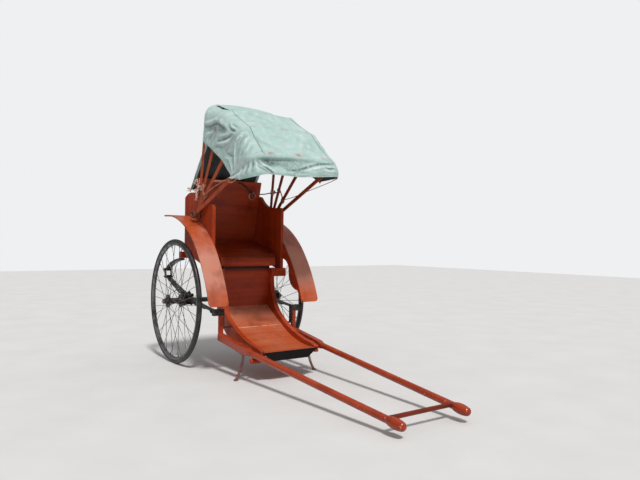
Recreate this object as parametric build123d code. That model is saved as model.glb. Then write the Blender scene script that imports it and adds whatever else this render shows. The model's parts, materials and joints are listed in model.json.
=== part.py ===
from build123d import *

import math
import os

# Pulled rickshaw, parked with its shaft tips, legs and wheels on the floor.
# Millimetres, +X forward, +Y to the passenger's left, +Z up.
# Places along X are measured from the axle; the finished pieces move by TO_MIDDLE.
TO_MIDDLE = -818.0

# Wheels: wire spokes that cross, between a rolled rim and a hub with two flanges
WHEEL_R = 419.0
WHEEL_Y = 384.0
RIM_SEAT_R = 393.0
RIM_SHOULDER_R = 386.0
RIM_INNER_R = 377.0
RIM_HALF_WIDTH = 13.0
RIM_FLOOR_HALF = 6.0
SPOKES_PER_FLANGE = 18
SPOKE_R = 1.7
SPOKE_CROSS_DEG = 52.0
SPOKE_HEAD_INSET = 7.0
SPOKE_ROOT = 3.0
LACING_OFFSET = 1.9
FLANGE_R = 44.0
FLANGE_OFFSET = 45.5
FLANGE_THICKNESS = 8.0
BARREL_R = 20.0
BARREL_END_R = 23.0
BARREL_FLARE = 16.0
HUB_INNER = -55.0
HUB_OUTER = 58.0
CAP_OUTER = 70.0
CAP_R = 23.0
AXLE_R = 13.0
RUNNING_GAP = 0.05
AXLE_END_Y = 440.0
COLLAR_R = 19.0
COLLAR_Y = (319.0, 328.5)

# Leaf springs: eyes and middle of the main leaf in (X, Z)
SPRING_Y = 295.0
LEAF_WIDTH = 38.0
LEAF_THICKNESS = 7.0
SPRING_REAR_EYE = (-340.0, 565.0)
SPRING_MIDDLE = (6.0, 455.0)
SPRING_FRONT_EYE = (438.0, 388.0)
# each leaf's reach from the axle to the eyes, as a share, from the main leaf up
LEAF_SHARES = (1.0, 0.72, 0.44)
EYE_R = 11.0
EYE_PIN_R = 5.0
CHEEK_GAP = 0.5
CHEEK = 6.0
CLAMP_HALF_LENGTH = 36.0
CLAMP_HALF_WIDTH = 32.0
CLAMP_PLATE = 6.0
CLAMP_BOLT = (27.0, 25.0)
CLAMP_BOLT_R = 4.0
CLAMP_BOLT_END = 4.0

# Shafts: centre line through three places (X, |Y|, Z)
SHAFT_REAR = (468.0, 271.0, 229.0)
SHAFT_BAND = (800.0, 257.0, 183.0)
SHAFT_TIP = (1952.0, 208.0, 64.0)
SHAFT_R = 17.5
SHAFT_SQUARE = (38.0, 48.0)
SHAFT_SQUARE_ROUND = 7.0
SHAFT_NECK = 46.0
SHAFT_ROOT = 20.0
# ring grooves, as shares of the turned length
RING_SHARES = (0.845, 0.965)
RING_HALF = 3.0
RING_DEPTH = 2.0
BULB_R = 25.5
BULB_PEAK = 54.0
# rounded end of the bulb: (radius, distance back from the very end)
BULB_END = ((20.0, 11.0), (13.0, 3.0), (4.0, 0.0))
CROSSBAR_X = 1950.0
CROSSBAR_LIFT = 6.0
CROSSBAR_R = 11.0

# Body: half widths, boards and the seat's places in (X, Z)
PANEL_IN = 250.0
PANEL_OUT = 270.0
RAIL_IN = 178.0
RAIL_OUT = 206.0
# a foot rail's front and top edge in (X, Z), from its head down and forward, and its underside back again
RAIL_HEAD = (326.0, 590.0)
RAIL_ARCS = [(345.0, 470.0), (452.0, 330.0), (780.0, 208.0), (860.0, 187.0)]
RAIL_UNDER = [(860.0, 150.0), (620.0, 184.0), (450.0, 215.0), (330.0, 300.0), (260.0, 440.0), (260.0, 590.0)]
BOARD = 18.0
SEAT_REAR = (-52.0, 845.0)
SEAT_NOSE = (328.0, 722.0)
SEAT_SLAB = 22.0
SEAT_LIP = 60.0
SEAT_LIP_BULGE = 14.0
SEAT_STEP_X = 262.0
SEAT_HALF = 205.0
BACK_FOOT = (-52.0, 850.0)
BACK_HEAD = (62.0, 1258.0)
BACK_SUNK = 34.0
WING_REAR = -110.0
WING_BOTTOM_REAR = 752.0
WING_FRONT = 338.0
BEAM_Z = (590.0, 646.0)
BEAM_REAR = 268.0
BEAM_DEPTH = 16.0
BEAM_HALF = 292.0
REAR_BOARD = 15.0
REAR_BEAM = (-110.0, -68.0, 708.0, 752.0)
REAR_BEAM_HALF = 310.0
# top edge of a side panel, in (X, Z): start and, for each arc, a place on it and its end
WING_TOP_START = (WING_REAR, 1130.0)
WING_TOP_ARCS = [((-30.0, 1161.0), (52.0, 1152.0)), ((104.0, 1106.0), (170.0, 1076.0)),
                 ((240.0, 1069.0), (306.0, 1067.0)), ((330.0, 1058.0), (WING_FRONT, 1034.0))]
# underside of the seat box, in (X, Z): front, middle, rear
BOX_CURVE = [(SEAT_STEP_X, 455.0), (130.0, 625.0), (WING_REAR + REAR_BOARD, 756.0)]
# the footboard's top in (X, Z): where the sweep starts, its first direction and the ends of its arcs
FOOT_DROP = (284.0, 392.0)
FOOT_WAY = (0.84, -0.545)
FOOT_ARCS = [(500.0, 262.0), (860.0, 180.0)]
FOOT_JOINT_SHARE = 0.03
FOOT_JOINT = (3.0, 2.0)
APRON_X = 860.0
APRON_THICKNESS = 8.0
APRON_TOP = (196.0, 178.0)
APRON_BOTTOM = (121.0, 126.0)

# Supports: legs that splay outward below a plate under rail and shaft, and a bar bolted under the rails
LEG_PATH = [(705.0, -236.0, 166.0), (705.0, -246.0, 88.0), (705.0, -284.0, 4.0)]
LEG_R = 8.0
LEG_FOOT_R = 13.0
LEG_FOOT_HEIGHT = 8.0
LEG_PLATE = (60.0, 76.0, 7.0)
LEG_PLATE_AT = (705.0, -232.0, 164.4)
LEG_PLATE_TILT = 8.0
UNDER_BAR = (744.0, 112.0)
UNDER_BAR_R = 14.0
UNDER_BAR_HALF = 208.0
BAR_BOLT_Y = 192.0
BAR_BOLT_R = 6.0
BAR_BOLT_HEIGHT = 60.0
# spring bracket: its block on the post in X from the eye and in Z, its strap down the post and in to the rail
BRACKET_X = (13.0, 45.0)
BRACKET_Z = (362.0, 402.0)
BRACKET_REACH = 28.0
STRAP = 8.0
STRAP_Z = 282.0
BRACKET_CHEEK = (12.0, 13.0)
POST_X = (22.0, 48.0)
POST_HALF = 12.0
POST_BOTTOM = 238.0
# rear hanger: a curved arm from the rear beam to the shackle, in (X, Z)
HANGER_START = (-90.0, 700.0)
HANGER_WAY = (-1.0, -0.1)
HANGER_BEND = (-250.0, 668.0)
HANGER_HALF = 7.0
SHACKLE_OFFSET = (-8.0, 52.0)
SHACKLE_PLATE = 5.0
SHACKLE_WIDTH = 18.0
SHACKLE_END_R = 10.0

# Mudguards: the strip's top line in (X, Z), from the low front end up and back
GUARD_FRONT = (580.0, 430.0)
GUARD_START_WAY = (-0.31, 0.95)
GUARD_ARCS = [(400.0, 760.0), (170.0, 940.0), (-178.0, 1004.0)]
GUARD_IN = 270.0
GUARD_OUT = 402.0
GUARD_THICKNESS = 7.0
GUARD_CORNER_R = 24.0
# the web between mudguard and side panel: its inner outline in (X, Z), from the top down
WEB_OUT = 280.0
WEB_TOP = (180.0, 760.0)
WEB_SEAT = (330.0, 712.0)
WEB_ARCS = [((392.0, 680.0), (410.0, 618.0)), ((440.0, 540.0), (520.0, 503.0))]

# Hood
PIVOT = (140.0, 1000.0)
PIVOT_R = 5.0
PIVOT_HEAD_R = 10.0
PIVOT_WASHER_R = 26.0
PIVOT_WASHER = 2.5
BOW_WIDTH = 26.0
BOW_THICKNESS = 6.0
BOW_CORNER_R = 80.0
BOW_CROWN_R = 1500.0
BOW_TAIL = 17.0
CANVAS_THICKNESS = 3.0
BOWS = [
    # name, angle forward of upright, leg place in Y, lean inward, top above the pivot, hem above it, canvas gap
    ("bow_1", 8.0, 280.0, 0.3, 746.0, 490.0, 3.5),
    ("bow_2", 27.5, 291.0, 0.8, 744.0, 472.0, 3.5),
    ("bow_3", 48.5, 302.0, 1.2, 784.0, 482.0, 5.5),
    ("bow_4", 67.5, 313.0, 1.5, 848.0, 600.0, 8.0),
]
# rear curtain: its stretch down along the first bow, its foot at the rear in (X, Z), its half width
CURTAIN_ALONG = (716.0, 492.0)
CURTAIN_FOOT = (-72.0, 1188.0)
CURTAIN_HALF = 250.0
# front valance: front face, hem, top edge, half width, return along the side, corner radius
VALANCE_FRONT = 958.0
VALANCE_Z = (1214.0, 1322.0)
VALANCE_HALF = 312.0
VALANCE_RETURN = 130.0
VALANCE_CORNER_R = 70.0

parts = {}


def polar(r, deg):
    return (r * math.cos(math.radians(deg)), r * math.sin(math.radians(deg)))


def circle_of(p, q, s):
    """centre and radius of the circle through three points of a plane"""
    (ax, ay), (bx, by), (cx, cy) = p, q, s
    d = 2 * (ax * (by - cy) + bx * (cy - ay) + cx * (ay - by))
    aa, bb, cc = ax * ax + ay * ay, bx * bx + by * by, cx * cx + cy * cy
    ux = (aa * (by - cy) + bb * (cy - ay) + cc * (ay - by)) / d
    uy = (aa * (cx - bx) + bb * (ax - cx) + cc * (bx - ax)) / d
    return (ux, uy), math.hypot(ax - ux, ay - uy)


def tangent_arcs(start, way, points):
    """(centre, radius, from angle, sweep) of arcs that run on from start, each tangent to the last"""
    out = []
    size = math.hypot(*way)
    p, t = start, (way[0] / size, way[1] / size)
    for q in points:
        n = (-t[1], t[0])
        dx, dy = q[0] - p[0], q[1] - p[1]
        s = (dx * dx + dy * dy) / (2 * (n[0] * dx + n[1] * dy))
        c = (p[0] + n[0] * s, p[1] + n[1] * s)
        a0 = math.atan2(p[1] - c[1], p[0] - c[0])
        a1 = math.atan2(q[1] - c[1], q[0] - c[0])
        sweep = (a1 - a0) % (2 * math.pi)
        if s < 0:
            sweep -= 2 * math.pi
        out.append((c, abs(s), a0, sweep))
        cos, sin = math.cos(sweep), math.sin(sweep)
        t = (t[0] * cos - t[1] * sin, t[0] * sin + t[1] * cos)
        p = q
    return out


def arc_point(arc, share, shift):
    """a point on an arc, moved to the left of its run by shift"""
    c, r, a0, sweep = arc
    rr = r - shift if sweep > 0 else r + shift
    a = a0 + sweep * share
    return (c[0] + rr * math.cos(a), c[1] + rr * math.sin(a))


def arc_edge(arc, shift, back=False):
    shares = (1, 0.5, 0) if back else (0, 0.5, 1)
    return ThreePointArc(*(arc_point(arc, k, shift) for k in shares))


def arc_band(arcs, low, high):
    """face between two copies of a chain of arcs, shifted to the left by low and by high"""
    edges = [arc_edge(arc, low) for arc in arcs]
    edges.append(Line(arc_point(arcs[-1], 1, low), arc_point(arcs[-1], 1, high)))
    edges += [arc_edge(arc, high, back=True) for arc in reversed(arcs)]
    edges.append(Line(arc_point(arcs[0], 0, high), arc_point(arcs[0], 0, low)))
    return make_face(edges)


def run_of(start, arcs):
    """edges from start along arcs given as (place on the arc, end)"""
    edges = []
    for middle, end in arcs:
        edges.append(ThreePointArc(start, middle, end))
        start = end
    return edges


def outline(*points):
    return make_face(Polyline(*points, close=True).edges())


def along_y(face, y0, y1):
    """prism of a face drawn in (X, Z), from y0 to y1"""
    low, high = min(y0, y1), max(y0, y1)
    return extrude(Plane((0, high, 0), x_dir=(1, 0, 0), z_dir=(0, -1, 0)) * face, high - low)


def box_between(low, high):
    size = [b - a for a, b in zip(low, high)]
    middle = [(a + b) / 2 for a, b in zip(low, high)]
    return Pos(*middle) * Box(*size)


def rod(start, end, r):
    """cylinder from one point to another"""
    a, b = Vector(*start), Vector(*end)
    return Plane(origin=a, z_dir=(b - a).normalized()) * Cylinder(
        r, (b - a).length, align=(Align.CENTER, Align.CENTER, Align.MIN)
    )


def turned(edges):
    return revolve(Plane.XZ * make_face(edges), Axis.Z)


def left_of(shape):
    return mirror(shape, Plane.XZ)


def each_side(name, shape):
    """the right-hand piece as given and its mirror image, each a node"""
    parts[name + "_right"] = shape
    parts[name + "_left"] = left_of(shape)


def pair(name, shape):
    """the right-hand piece as given and its mirror image, apart in one node"""
    parts[name] = Compound(children=[*shape.solids(), *left_of(shape).solids()])


# The wheels are drawn about the Z axis with +Z outward, then laid on the right-hand side.
TO_WHEEL = Pos(0, -WHEEL_Y, WHEEL_R) * Rot(90, 0, 0)


def spokes():
    """wire spokes, leaning forward and back by turns at each flange"""
    out = []
    step = 360.0 / SPOKES_PER_FLANGE
    for side in (-1, 1):
        for k in range(SPOKES_PER_FLANGE):
            lead = 1 if k % 2 else -1
            at_rim = k * step + (step / 2 if side > 0 else 0)
            hx, hy = polar(FLANGE_R - SPOKE_HEAD_INSET, at_rim + lead * SPOKE_CROSS_DEG)
            rx, ry = polar(RIM_INNER_R + SPOKE_ROOT, at_rim)
            start = (hx, hy, side * (FLANGE_OFFSET + lead * LACING_OFFSET))
            end = (rx, ry, side * (2 * LACING_OFFSET + lead * LACING_OFFSET))
            out.append(rod(start, end, SPOKE_R))
    return out


def wheel():
    w = RIM_HALF_WIDTH
    tread = ThreePointArc((RIM_SEAT_R, -w), (WHEEL_R, 0), (RIM_SEAT_R, w))
    tyre = turned([tread, Line((RIM_SEAT_R, w), (RIM_SEAT_R, -w))])
    half = [(RIM_SEAT_R, w), (RIM_SHOULDER_R, w), (RIM_INNER_R, RIM_FLOOR_HALF)]
    rim = turned(Polyline(*half, *((r, -z) for r, z in reversed(half)), close=True).edges())
    f, t = FLANGE_OFFSET, FLANGE_THICKNESS / 2
    section = [
        (0, HUB_INNER),
        (BARREL_END_R, HUB_INNER),
        (BARREL_END_R, -f - t),
        (FLANGE_R, -f - t),
        (FLANGE_R, -f + t),
        (BARREL_END_R, -f + t),
        (BARREL_R, -f + BARREL_FLARE),
        (BARREL_R, f - BARREL_FLARE),
        (BARREL_END_R, f - t),
        (FLANGE_R, f - t),
        (FLANGE_R, f + t),
        (CAP_R, f + t),
        (CAP_R, HUB_OUTER),
        (CAP_R - 7, CAP_OUTER - 3),
        (CAP_R - 12, CAP_OUTER),
        (0, CAP_OUTER),
    ]
    hub = turned(Polyline(*section, close=True).edges())
    bore_top = AXLE_END_Y - WHEEL_Y + 3
    hub -= rod((0, 0, HUB_INNER - 1), (0, 0, bore_top), AXLE_R + RUNNING_GAP)
    laced = rim.fuse(*spokes()) - hub
    each_side("tyre", TO_WHEEL * tyre)
    each_side("spoked_rim", TO_WHEEL * laced)
    each_side("hub", TO_WHEEL * hub)


def axle_and_springs():
    rear, middle, front = SPRING_REAR_EYE, SPRING_MIDDLE, SPRING_FRONT_EYE
    centre, r = circle_of(rear, middle, front)
    t = LEAF_THICKNESS
    y0, y1 = -SPRING_Y - LEAF_WIDTH / 2, -SPRING_Y + LEAF_WIDTH / 2

    def angle_of(x, z):
        return math.degrees(math.atan2(z - centre[1], x - centre[0]))

    def at(radius, deg):
        x, z = polar(radius, deg)
        return (centre[0] + x, centre[1] + z)

    over_axle = angle_of(0, WHEEL_R)
    spring = None
    for i, share in enumerate(LEAF_SHARES):
        a, b = (over_axle + (angle_of(*eye) - over_axle) * share for eye in (rear, front))
        inner, outer = r - t / 2 + i * t, r + t / 2 + i * t
        half = (a + b) / 2
        leaf = make_face(
            [
                ThreePointArc(at(inner, a), at(inner, half), at(inner, b)),
                Line(at(inner, b), at(outer, b)),
                ThreePointArc(at(outer, b), at(outer, half), at(outer, a)),
                Line(at(outer, a), at(inner, a)),
            ]
        )
        solid = along_y(leaf, y0, y1)
        spring = solid if spring is None else spring + solid
    for x, z in (rear, front):
        spring += rod((x, y0, z), (x, y1, z), EYE_R)
        spring -= rod((x, y0 - 1, z), (x, y1 + 1, z), EYE_PIN_R)
    each_side("leaf_spring", spring)

    # clamp plates, drawn about the axle and leaned square to the spring
    lean = Rot(0, math.degrees(math.atan2(centre[0], centre[1] - WHEEL_R)), 0)
    from_centre = math.hypot(centre[0], centre[1] - WHEEL_R)
    stack_top = from_centre - r + t / 2
    stack_bottom = stack_top - len(LEAF_SHARES) * t
    x, w, p = CLAMP_HALF_LENGTH, CLAMP_HALF_WIDTH, CLAMP_PLATE
    y = -SPRING_Y
    clamp = box_between((-x, y - w, stack_top), (x, y + w, stack_top + p))
    clamp += box_between((-x, y - w, -AXLE_R - p), (x, y + w, -AXLE_R))
    clamp += box_between((-x, y0, AXLE_R), (x, y1, stack_bottom))
    bolt_end = p + CLAMP_BOLT_END
    for dx in (-CLAMP_BOLT[0], CLAMP_BOLT[0]):
        for dy in (-CLAMP_BOLT[1], CLAMP_BOLT[1]):
            low, high = -AXLE_R - bolt_end, stack_top + bolt_end
            clamp += rod((dx, y + dy, low), (dx, y + dy, high), CLAMP_BOLT_R)
    clamp = Pos(0, 0, WHEEL_R) * lean * clamp
    pair("spring_clamps", clamp - spring)

    square = box_between((-AXLE_R, -COLLAR_Y[0], -AXLE_R), (AXLE_R, COLLAR_Y[0], AXLE_R))
    axle = Pos(0, 0, WHEEL_R) * lean * square
    for side in (-1, 1):
        root, end = side * (COLLAR_Y[0] - 5), side * AXLE_END_Y
        axle += rod((0, root, WHEEL_R), (0, end, WHEEL_R), AXLE_R)
        a, b = (side * place for place in COLLAR_Y)
        axle += rod((0, a, WHEEL_R), (0, b, WHEEL_R), COLLAR_R)
    parts["axle"] = axle - clamp - left_of(clamp)


def shafts():
    rear, band, tip = (Vector(x, -y, z) for x, y, z in (SHAFT_REAR, SHAFT_BAND, SHAFT_TIP))
    reach = tip - band
    length = reach.length
    # the turned pole: outline from the band to the rounded bulb, with two ring grooves
    edge = [(0, -SHAFT_ROOT), (SHAFT_R, -SHAFT_ROOT)]
    for share in RING_SHARES:
        at = share * length
        edge += [(SHAFT_R, at - RING_HALF), (SHAFT_R - RING_DEPTH, at - RING_DEPTH)]
        edge += [(SHAFT_R - RING_DEPTH, at + RING_DEPTH), (SHAFT_R, at + RING_HALF)]
    edge.append((SHAFT_R, length))
    end = length + BULB_R * 4
    side, shoulder, flat = ((r, end - back) for r, back in BULB_END)
    lines = list(Polyline(*edge).edges())
    lines.append(ThreePointArc((SHAFT_R, length), (BULB_R, length + BULB_PEAK), side))
    lines.append(ThreePointArc(side, shoulder, flat))
    lines += Polyline(flat, (0, end), (0, -SHAFT_ROOT)).edges()
    pole = Plane(origin=band, z_dir=reach.normalized()) * turned(lines)
    w, h = SHAFT_SQUARE
    back = band - rear
    stock = RectangleRounded(w, h, SHAFT_SQUARE_ROUND)
    round_end = RectangleRounded(2 * SHAFT_R - 1, 2 * SHAFT_R - 1, SHAFT_R - 1.5)
    square = Plane(origin=rear, x_dir=(0, 1, 0), z_dir=back.normalized()) * extrude(stock, back.length)
    neck = Plane(origin=band, x_dir=(0, 1, 0), z_dir=back.normalized()) * loft(
        [stock, Pos(0, 0, SHAFT_NECK) * round_end]
    )
    shaft = pole + square + neck
    at = band + reach * ((CROSSBAR_X - SHAFT_BAND[0]) / (SHAFT_TIP[0] - SHAFT_BAND[0]))
    z = at.Z + CROSSBAR_LIFT
    bar = rod((CROSSBAR_X, at.Y, z), (CROSSBAR_X, -at.Y, z), CROSSBAR_R)
    parts["crossbar"] = bar - shaft - left_of(shaft)
    each_side("shaft", shaft)


def seat_line(x):
    """height of the seat's top at a place along X"""
    (x0, z0), (x1, z1) = SEAT_REAR, SEAT_NOSE
    return z0 + (z1 - z0) * (x - x0) / (x1 - x0)


def foot_well():
    """foot rails, footboard and the board below the seat's front edge"""
    arcs = tangent_arcs(FOOT_DROP, FOOT_WAY, FOOT_ARCS)
    edge = [arc_edge(arc, 0) for arc in tangent_arcs(RAIL_HEAD, (0, -1), RAIL_ARCS)]
    edge += Polyline(RAIL_ARCS[-1], *RAIL_UNDER, RAIL_HEAD).edges()
    each_side("foot_rail", along_y(make_face(edge), -RAIL_OUT, -RAIL_IN))

    foot = along_y(arc_band(arcs, -BOARD, 0), -RAIL_IN, RAIL_IN)
    x, z = arc_point(arcs[1], FOOT_JOINT_SHARE, 0)
    half, depth = FOOT_JOINT
    foot -= box_between((x - half / 2, -RAIL_IN, z - depth), (x + half / 2, RAIL_IN, z + half))
    parts["footboard"] = foot

    lip_low = seat_line(SEAT_NOSE[0]) - SEAT_LIP
    face_x = BEAM_REAR + BEAM_DEPTH
    front = outline(
        arc_point(arcs[0], 0, -BOARD),
        arc_point(arcs[0], 0, 0),
        (face_x + BOARD, RAIL_HEAD[1]),
        (face_x + BOARD, lip_low),
        (face_x, lip_low),
        (face_x, RAIL_HEAD[1]),
    )
    parts["seat_front"] = along_y(front, -RAIL_IN, RAIL_IN)

    z0, z1 = BEAM_Z
    beam = box_between((BEAM_REAR, -BEAM_HALF, z0), (face_x, BEAM_HALF, z1))
    for side in (-1, 1):
        a, b = sorted((side * RAIL_IN, side * BEAM_HALF))
        beam += box_between((BEAM_REAR, a, z0), (WING_FRONT, b, z1))
    parts["seat_beam"] = beam


def seat_and_panels():
    rear, nose = SEAT_REAR[0], SEAT_NOSE[0]
    step = SEAT_STEP_X
    under = seat_line(step) - SEAT_SLAB
    slab = outline(
        (rear, seat_line(rear)), (rear, seat_line(rear) - SEAT_SLAB), (step, under), (step, seat_line(step))
    )
    lip_low = seat_line(nose) - SEAT_LIP
    edge = (nose - 10, seat_line(nose - 10))
    lip = make_face(
        [
            Line((step, seat_line(step)), edge),
            ThreePointArc(edge, (nose + SEAT_LIP_BULGE, lip_low + SEAT_LIP / 2), (nose, lip_low)),
            Line((nose, lip_low), (step, lip_low)),
            Line((step, lip_low), (step, seat_line(step))),
        ]
    )
    parts["seat"] = along_y(slab, -PANEL_IN, PANEL_IN) + along_y(lip, -SEAT_HALF, SEAT_HALF)

    beam_top = BEAM_Z[1]
    wing = [Line((WING_REAR, WING_BOTTOM_REAR), WING_TOP_START)]
    wing += run_of(WING_TOP_START, WING_TOP_ARCS)
    wing += Polyline(
        WING_TOP_ARCS[-1][1], (WING_FRONT, beam_top), (BEAM_REAR, beam_top), (WING_REAR, WING_BOTTOM_REAR)
    ).edges()
    panel = along_y(make_face(wing), -PANEL_OUT, -PANEL_IN)

    front, middle, back_end = BOX_CURVE
    side = [ThreePointArc(front, middle, back_end)]
    back_top = (back_end[0], seat_line(back_end[0]) - SEAT_SLAB)
    side += Polyline(back_end, back_top, (step, under), front).edges()
    box_side = along_y(make_face(side), -RAIL_OUT, -RAIL_OUT + BOARD)
    floor = [
        ThreePointArc(front, middle, back_end),
        Line(back_end, (back_end[0], back_end[1] + BOARD)),
        ThreePointArc(
            (back_end[0], back_end[1] + BOARD), (middle[0] + 8, middle[1] + 12), (front[0], front[1] + 21)
        ),
        Line((front[0], front[1] + 21), front),
    ]
    box_floor = along_y(make_face(floor), -RAIL_OUT + BOARD, RAIL_OUT - BOARD)
    parts["rear_board"] = box_between(
        (WING_REAR, -PANEL_IN, WING_BOTTOM_REAR), (WING_REAR + REAR_BOARD, PANEL_IN, WING_TOP_START[1])
    )

    (fx, fz), (hx, hz) = BACK_FOOT, BACK_HEAD
    d = Vector(hx - fx, hz - fz).normalized()
    n = Vector(-d.Y, d.X) * BOARD
    foot, head = Vector(fx, fz) - d * BACK_SUNK, Vector(hx, hz)
    corners = [foot, head, head + n, foot + n]
    back = along_y(outline(*((p.X, p.Y) for p in corners)), -PANEL_IN, PANEL_IN)
    parts["backrest"] = back
    x0, x1, z0, z1 = REAR_BEAM
    beam = box_between((x0, -REAR_BEAM_HALF, z0), (x1, REAR_BEAM_HALF, z1))
    parts["rear_beam"] = beam
    rails = parts["foot_rail_right"] + parts["foot_rail_left"]
    each_side("side_panel", panel - beam)
    pair("seat_box_sides", box_side - rails - beam - back - parts["seat_beam"])
    parts["seat_box_bottom"] = box_floor - rails - beam


def spring_mounts():
    """front brackets and posts, rear hangers and shackles"""
    y = -SPRING_Y
    ex, ez = SPRING_FRONT_EYE
    cheek = LEAF_WIDTH / 2 + CHEEK_GAP
    z0, z1 = BRACKET_Z
    a, b = (ex + dx for dx in BRACKET_X)
    post_y = -SHAFT_REAR[1]
    inner = post_y + POST_HALF
    bracket = box_between((a, y - BRACKET_REACH, z0), (b, inner + STRAP, z1))
    bracket += box_between((a, inner, STRAP_Z), (b, inner + STRAP, z1))
    bracket += box_between((a, inner, STRAP_Z), (b, -RAIL_OUT, STRAP_Z + STRAP))
    back, half = BRACKET_CHEEK
    for side in (-1, 1):
        c, d = sorted((y + side * cheek, y + side * (cheek + CHEEK)))
        bracket += box_between((ex - back, c, ez - half), (a + 1, d, ez + half))
    bracket += rod((ex, y - cheek - 3, ez), (ex, y + cheek + 3, ez), EYE_PIN_R - RUNNING_GAP)
    pair("spring_brackets", bracket)
    a, b = (ex + dx for dx in POST_X)
    post = box_between((a, post_y - POST_HALF, POST_BOTTOM), (b, post_y + POST_HALF, z0))
    pair("shaft_posts", post - parts["shaft_right"])

    rx, rz = SPRING_REAR_EYE
    hx, hz = rx + SHACKLE_OFFSET[0], rz + SHACKLE_OFFSET[1]
    arm = arc_band(tangent_arcs(HANGER_START, HANGER_WAY, [HANGER_BEND, (hx, hz)]), -HANGER_HALF, HANGER_HALF)
    w = LEAF_WIDTH / 2
    hanger = along_y(arm, y - w, y + w)
    hanger += rod((hx, y - w, hz), (hx, y + w, hz), EYE_R)
    hanger -= rod((hx, y - w - 1, hz), (hx, y + w + 1, hz), EYE_PIN_R)
    each_side("rear_hanger", hanger - parts["rear_beam"])
    out = cheek + SHACKLE_PLATE
    shackle = rod((rx, y - out, rz), (rx, y + out, rz), EYE_PIN_R - RUNNING_GAP)
    shackle += rod((hx, y - out, hz), (hx, y + out, hz), EYE_PIN_R - RUNNING_GAP)
    length = math.hypot(*SHACKLE_OFFSET)
    turn = -math.degrees(math.atan2(SHACKLE_OFFSET[1], SHACKLE_OFFSET[0]))
    for side in (-1, 1):
        a, b = sorted((y + side * cheek, y + side * out))
        for x, z in ((rx, rz), (hx, hz)):
            shackle += rod((x, a, z), (x, b, z), SHACKLE_END_R)
        link = Rot(0, turn, 0) * Box(length, SHACKLE_PLATE, SHACKLE_WIDTH)
        shackle += Pos((rx + hx) / 2, (a + b) / 2, (rz + hz) / 2) * link
    pair("rear_shackles", shackle)


def legs_and_bar():
    path = ThreePointArc(*LEG_PATH)
    leg = sweep(Plane(origin=path @ 0, z_dir=path % 0) * Circle(LEG_R), path=path)
    fx, fy, fz = LEG_PATH[-1]
    leg += rod((fx, fy, 0), (fx, fy, LEG_FOOT_HEIGHT), LEG_FOOT_R)
    plate = Box(*LEG_PLATE, align=(Align.CENTER, Align.CENTER, Align.MIN))
    leg += Pos(*LEG_PLATE_AT) * Rot(0, LEG_PLATE_TILT, 0) * plate
    each_side("leg", leg)

    bx, bz = UNDER_BAR
    bar = rod((bx, -UNDER_BAR_HALF, bz), (bx, UNDER_BAR_HALF, bz), UNDER_BAR_R)
    for y in (-BAR_BOLT_Y, BAR_BOLT_Y):
        bar += rod((bx, y, bz), (bx, y, bz + BAR_BOLT_HEIGHT), BAR_BOLT_R)
    parts["under_bar"] = bar - parts["foot_rail_right"] - parts["foot_rail_left"]

    (top, z1), (bottom, z0) = APRON_TOP, APRON_BOTTOM
    face = outline((-top, z1), (top, z1), (bottom, z0), (-bottom, z0))
    board = Plane((APRON_X, 0, 0), x_dir=(0, 1, 0), z_dir=(1, 0, 0)) * extrude(face, APRON_THICKNESS)
    parts["apron"] = board - parts["footboard"]


def mudguards():
    arcs = tangent_arcs(GUARD_FRONT, GUARD_START_WAY, GUARD_ARCS)
    strip = along_y(arc_band(arcs, 0, GUARD_THICKNESS), -GUARD_OUT, -GUARD_IN)
    corners = strip.edges().filter_by(lambda e: abs(e.length - GUARD_THICKNESS) < 0.01)
    each_side("mudguard", fillet(corners, GUARD_CORNER_R))
    web = [arc_edge(arc, GUARD_THICKNESS) for arc in arcs[:-1]]
    start = arc_point(arcs[0], 0, GUARD_THICKNESS)
    end = arc_point(arcs[-2], 1, GUARD_THICKNESS)
    web += Polyline(end, WEB_TOP, WEB_SEAT).edges()
    web += run_of(WEB_SEAT, WEB_ARCS)
    web.append(Line(WEB_ARCS[-1][1], start))
    pair("guard_webs", along_y(make_face(web), -WEB_OUT, -PANEL_OUT))


def bow_outline(leg, lean, top, low, shift):
    """one side of a bow in its own plane, (Y, height above the pivot), moved outward by shift"""
    a = math.radians(lean)
    corner, crown = BOW_CORNER_R, BOW_CROWN_R
    z0 = top - corner
    for _ in range(5):
        side = leg - corner / math.cos(a) - z0 * math.tan(a)
        theta = math.asin(side / (crown - corner))
        z0 = top - crown + (crown - corner) * math.cos(theta)
    r = corner + shift

    def on_corner(angle):
        return (side + r * math.cos(angle), z0 + r * math.sin(angle))

    last = math.pi / 2 - theta
    start, middle, end = on_corner(a), on_corner((a + last) / 2), on_corner(last)
    foot = (start[0] + (start[1] - low) * math.tan(a), low)
    return foot, start, middle, end, (0, top + shift)


def bow_face(leg, lean, top, low, inner, outer):
    """U-shaped band between two shifts of a bow's outline"""
    edges = []
    feet = []
    for shift in (inner, outer):
        foot, start, middle, end, peak = bow_outline(leg, lean, top, low, shift)
        other = [(-y, z) for y, z in (foot, start, middle, end)]
        edges += [Line(foot, start), ThreePointArc(start, middle, end), ThreePointArc(end, peak, other[3])]
        edges += [ThreePointArc(other[3], other[2], other[1]), Line(other[1], other[0])]
        feet.append((foot, other[0]))
    edges += [Line(feet[0][k], feet[1][k]) for k in (0, 1)]
    return make_face(edges)


def bow_plane(deg):
    """plane through the pivots, upright at 0 degrees and turned forward, with x as Y and y as height"""
    a = math.radians(deg)
    z_dir = Vector(0, 1, 0).cross(Vector(math.sin(a), 0, math.cos(a)))
    return Plane(origin=(PIVOT[0], 0, PIVOT[1]), x_dir=(0, 1, 0), z_dir=(z_dir.X, z_dir.Y, z_dir.Z))


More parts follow.
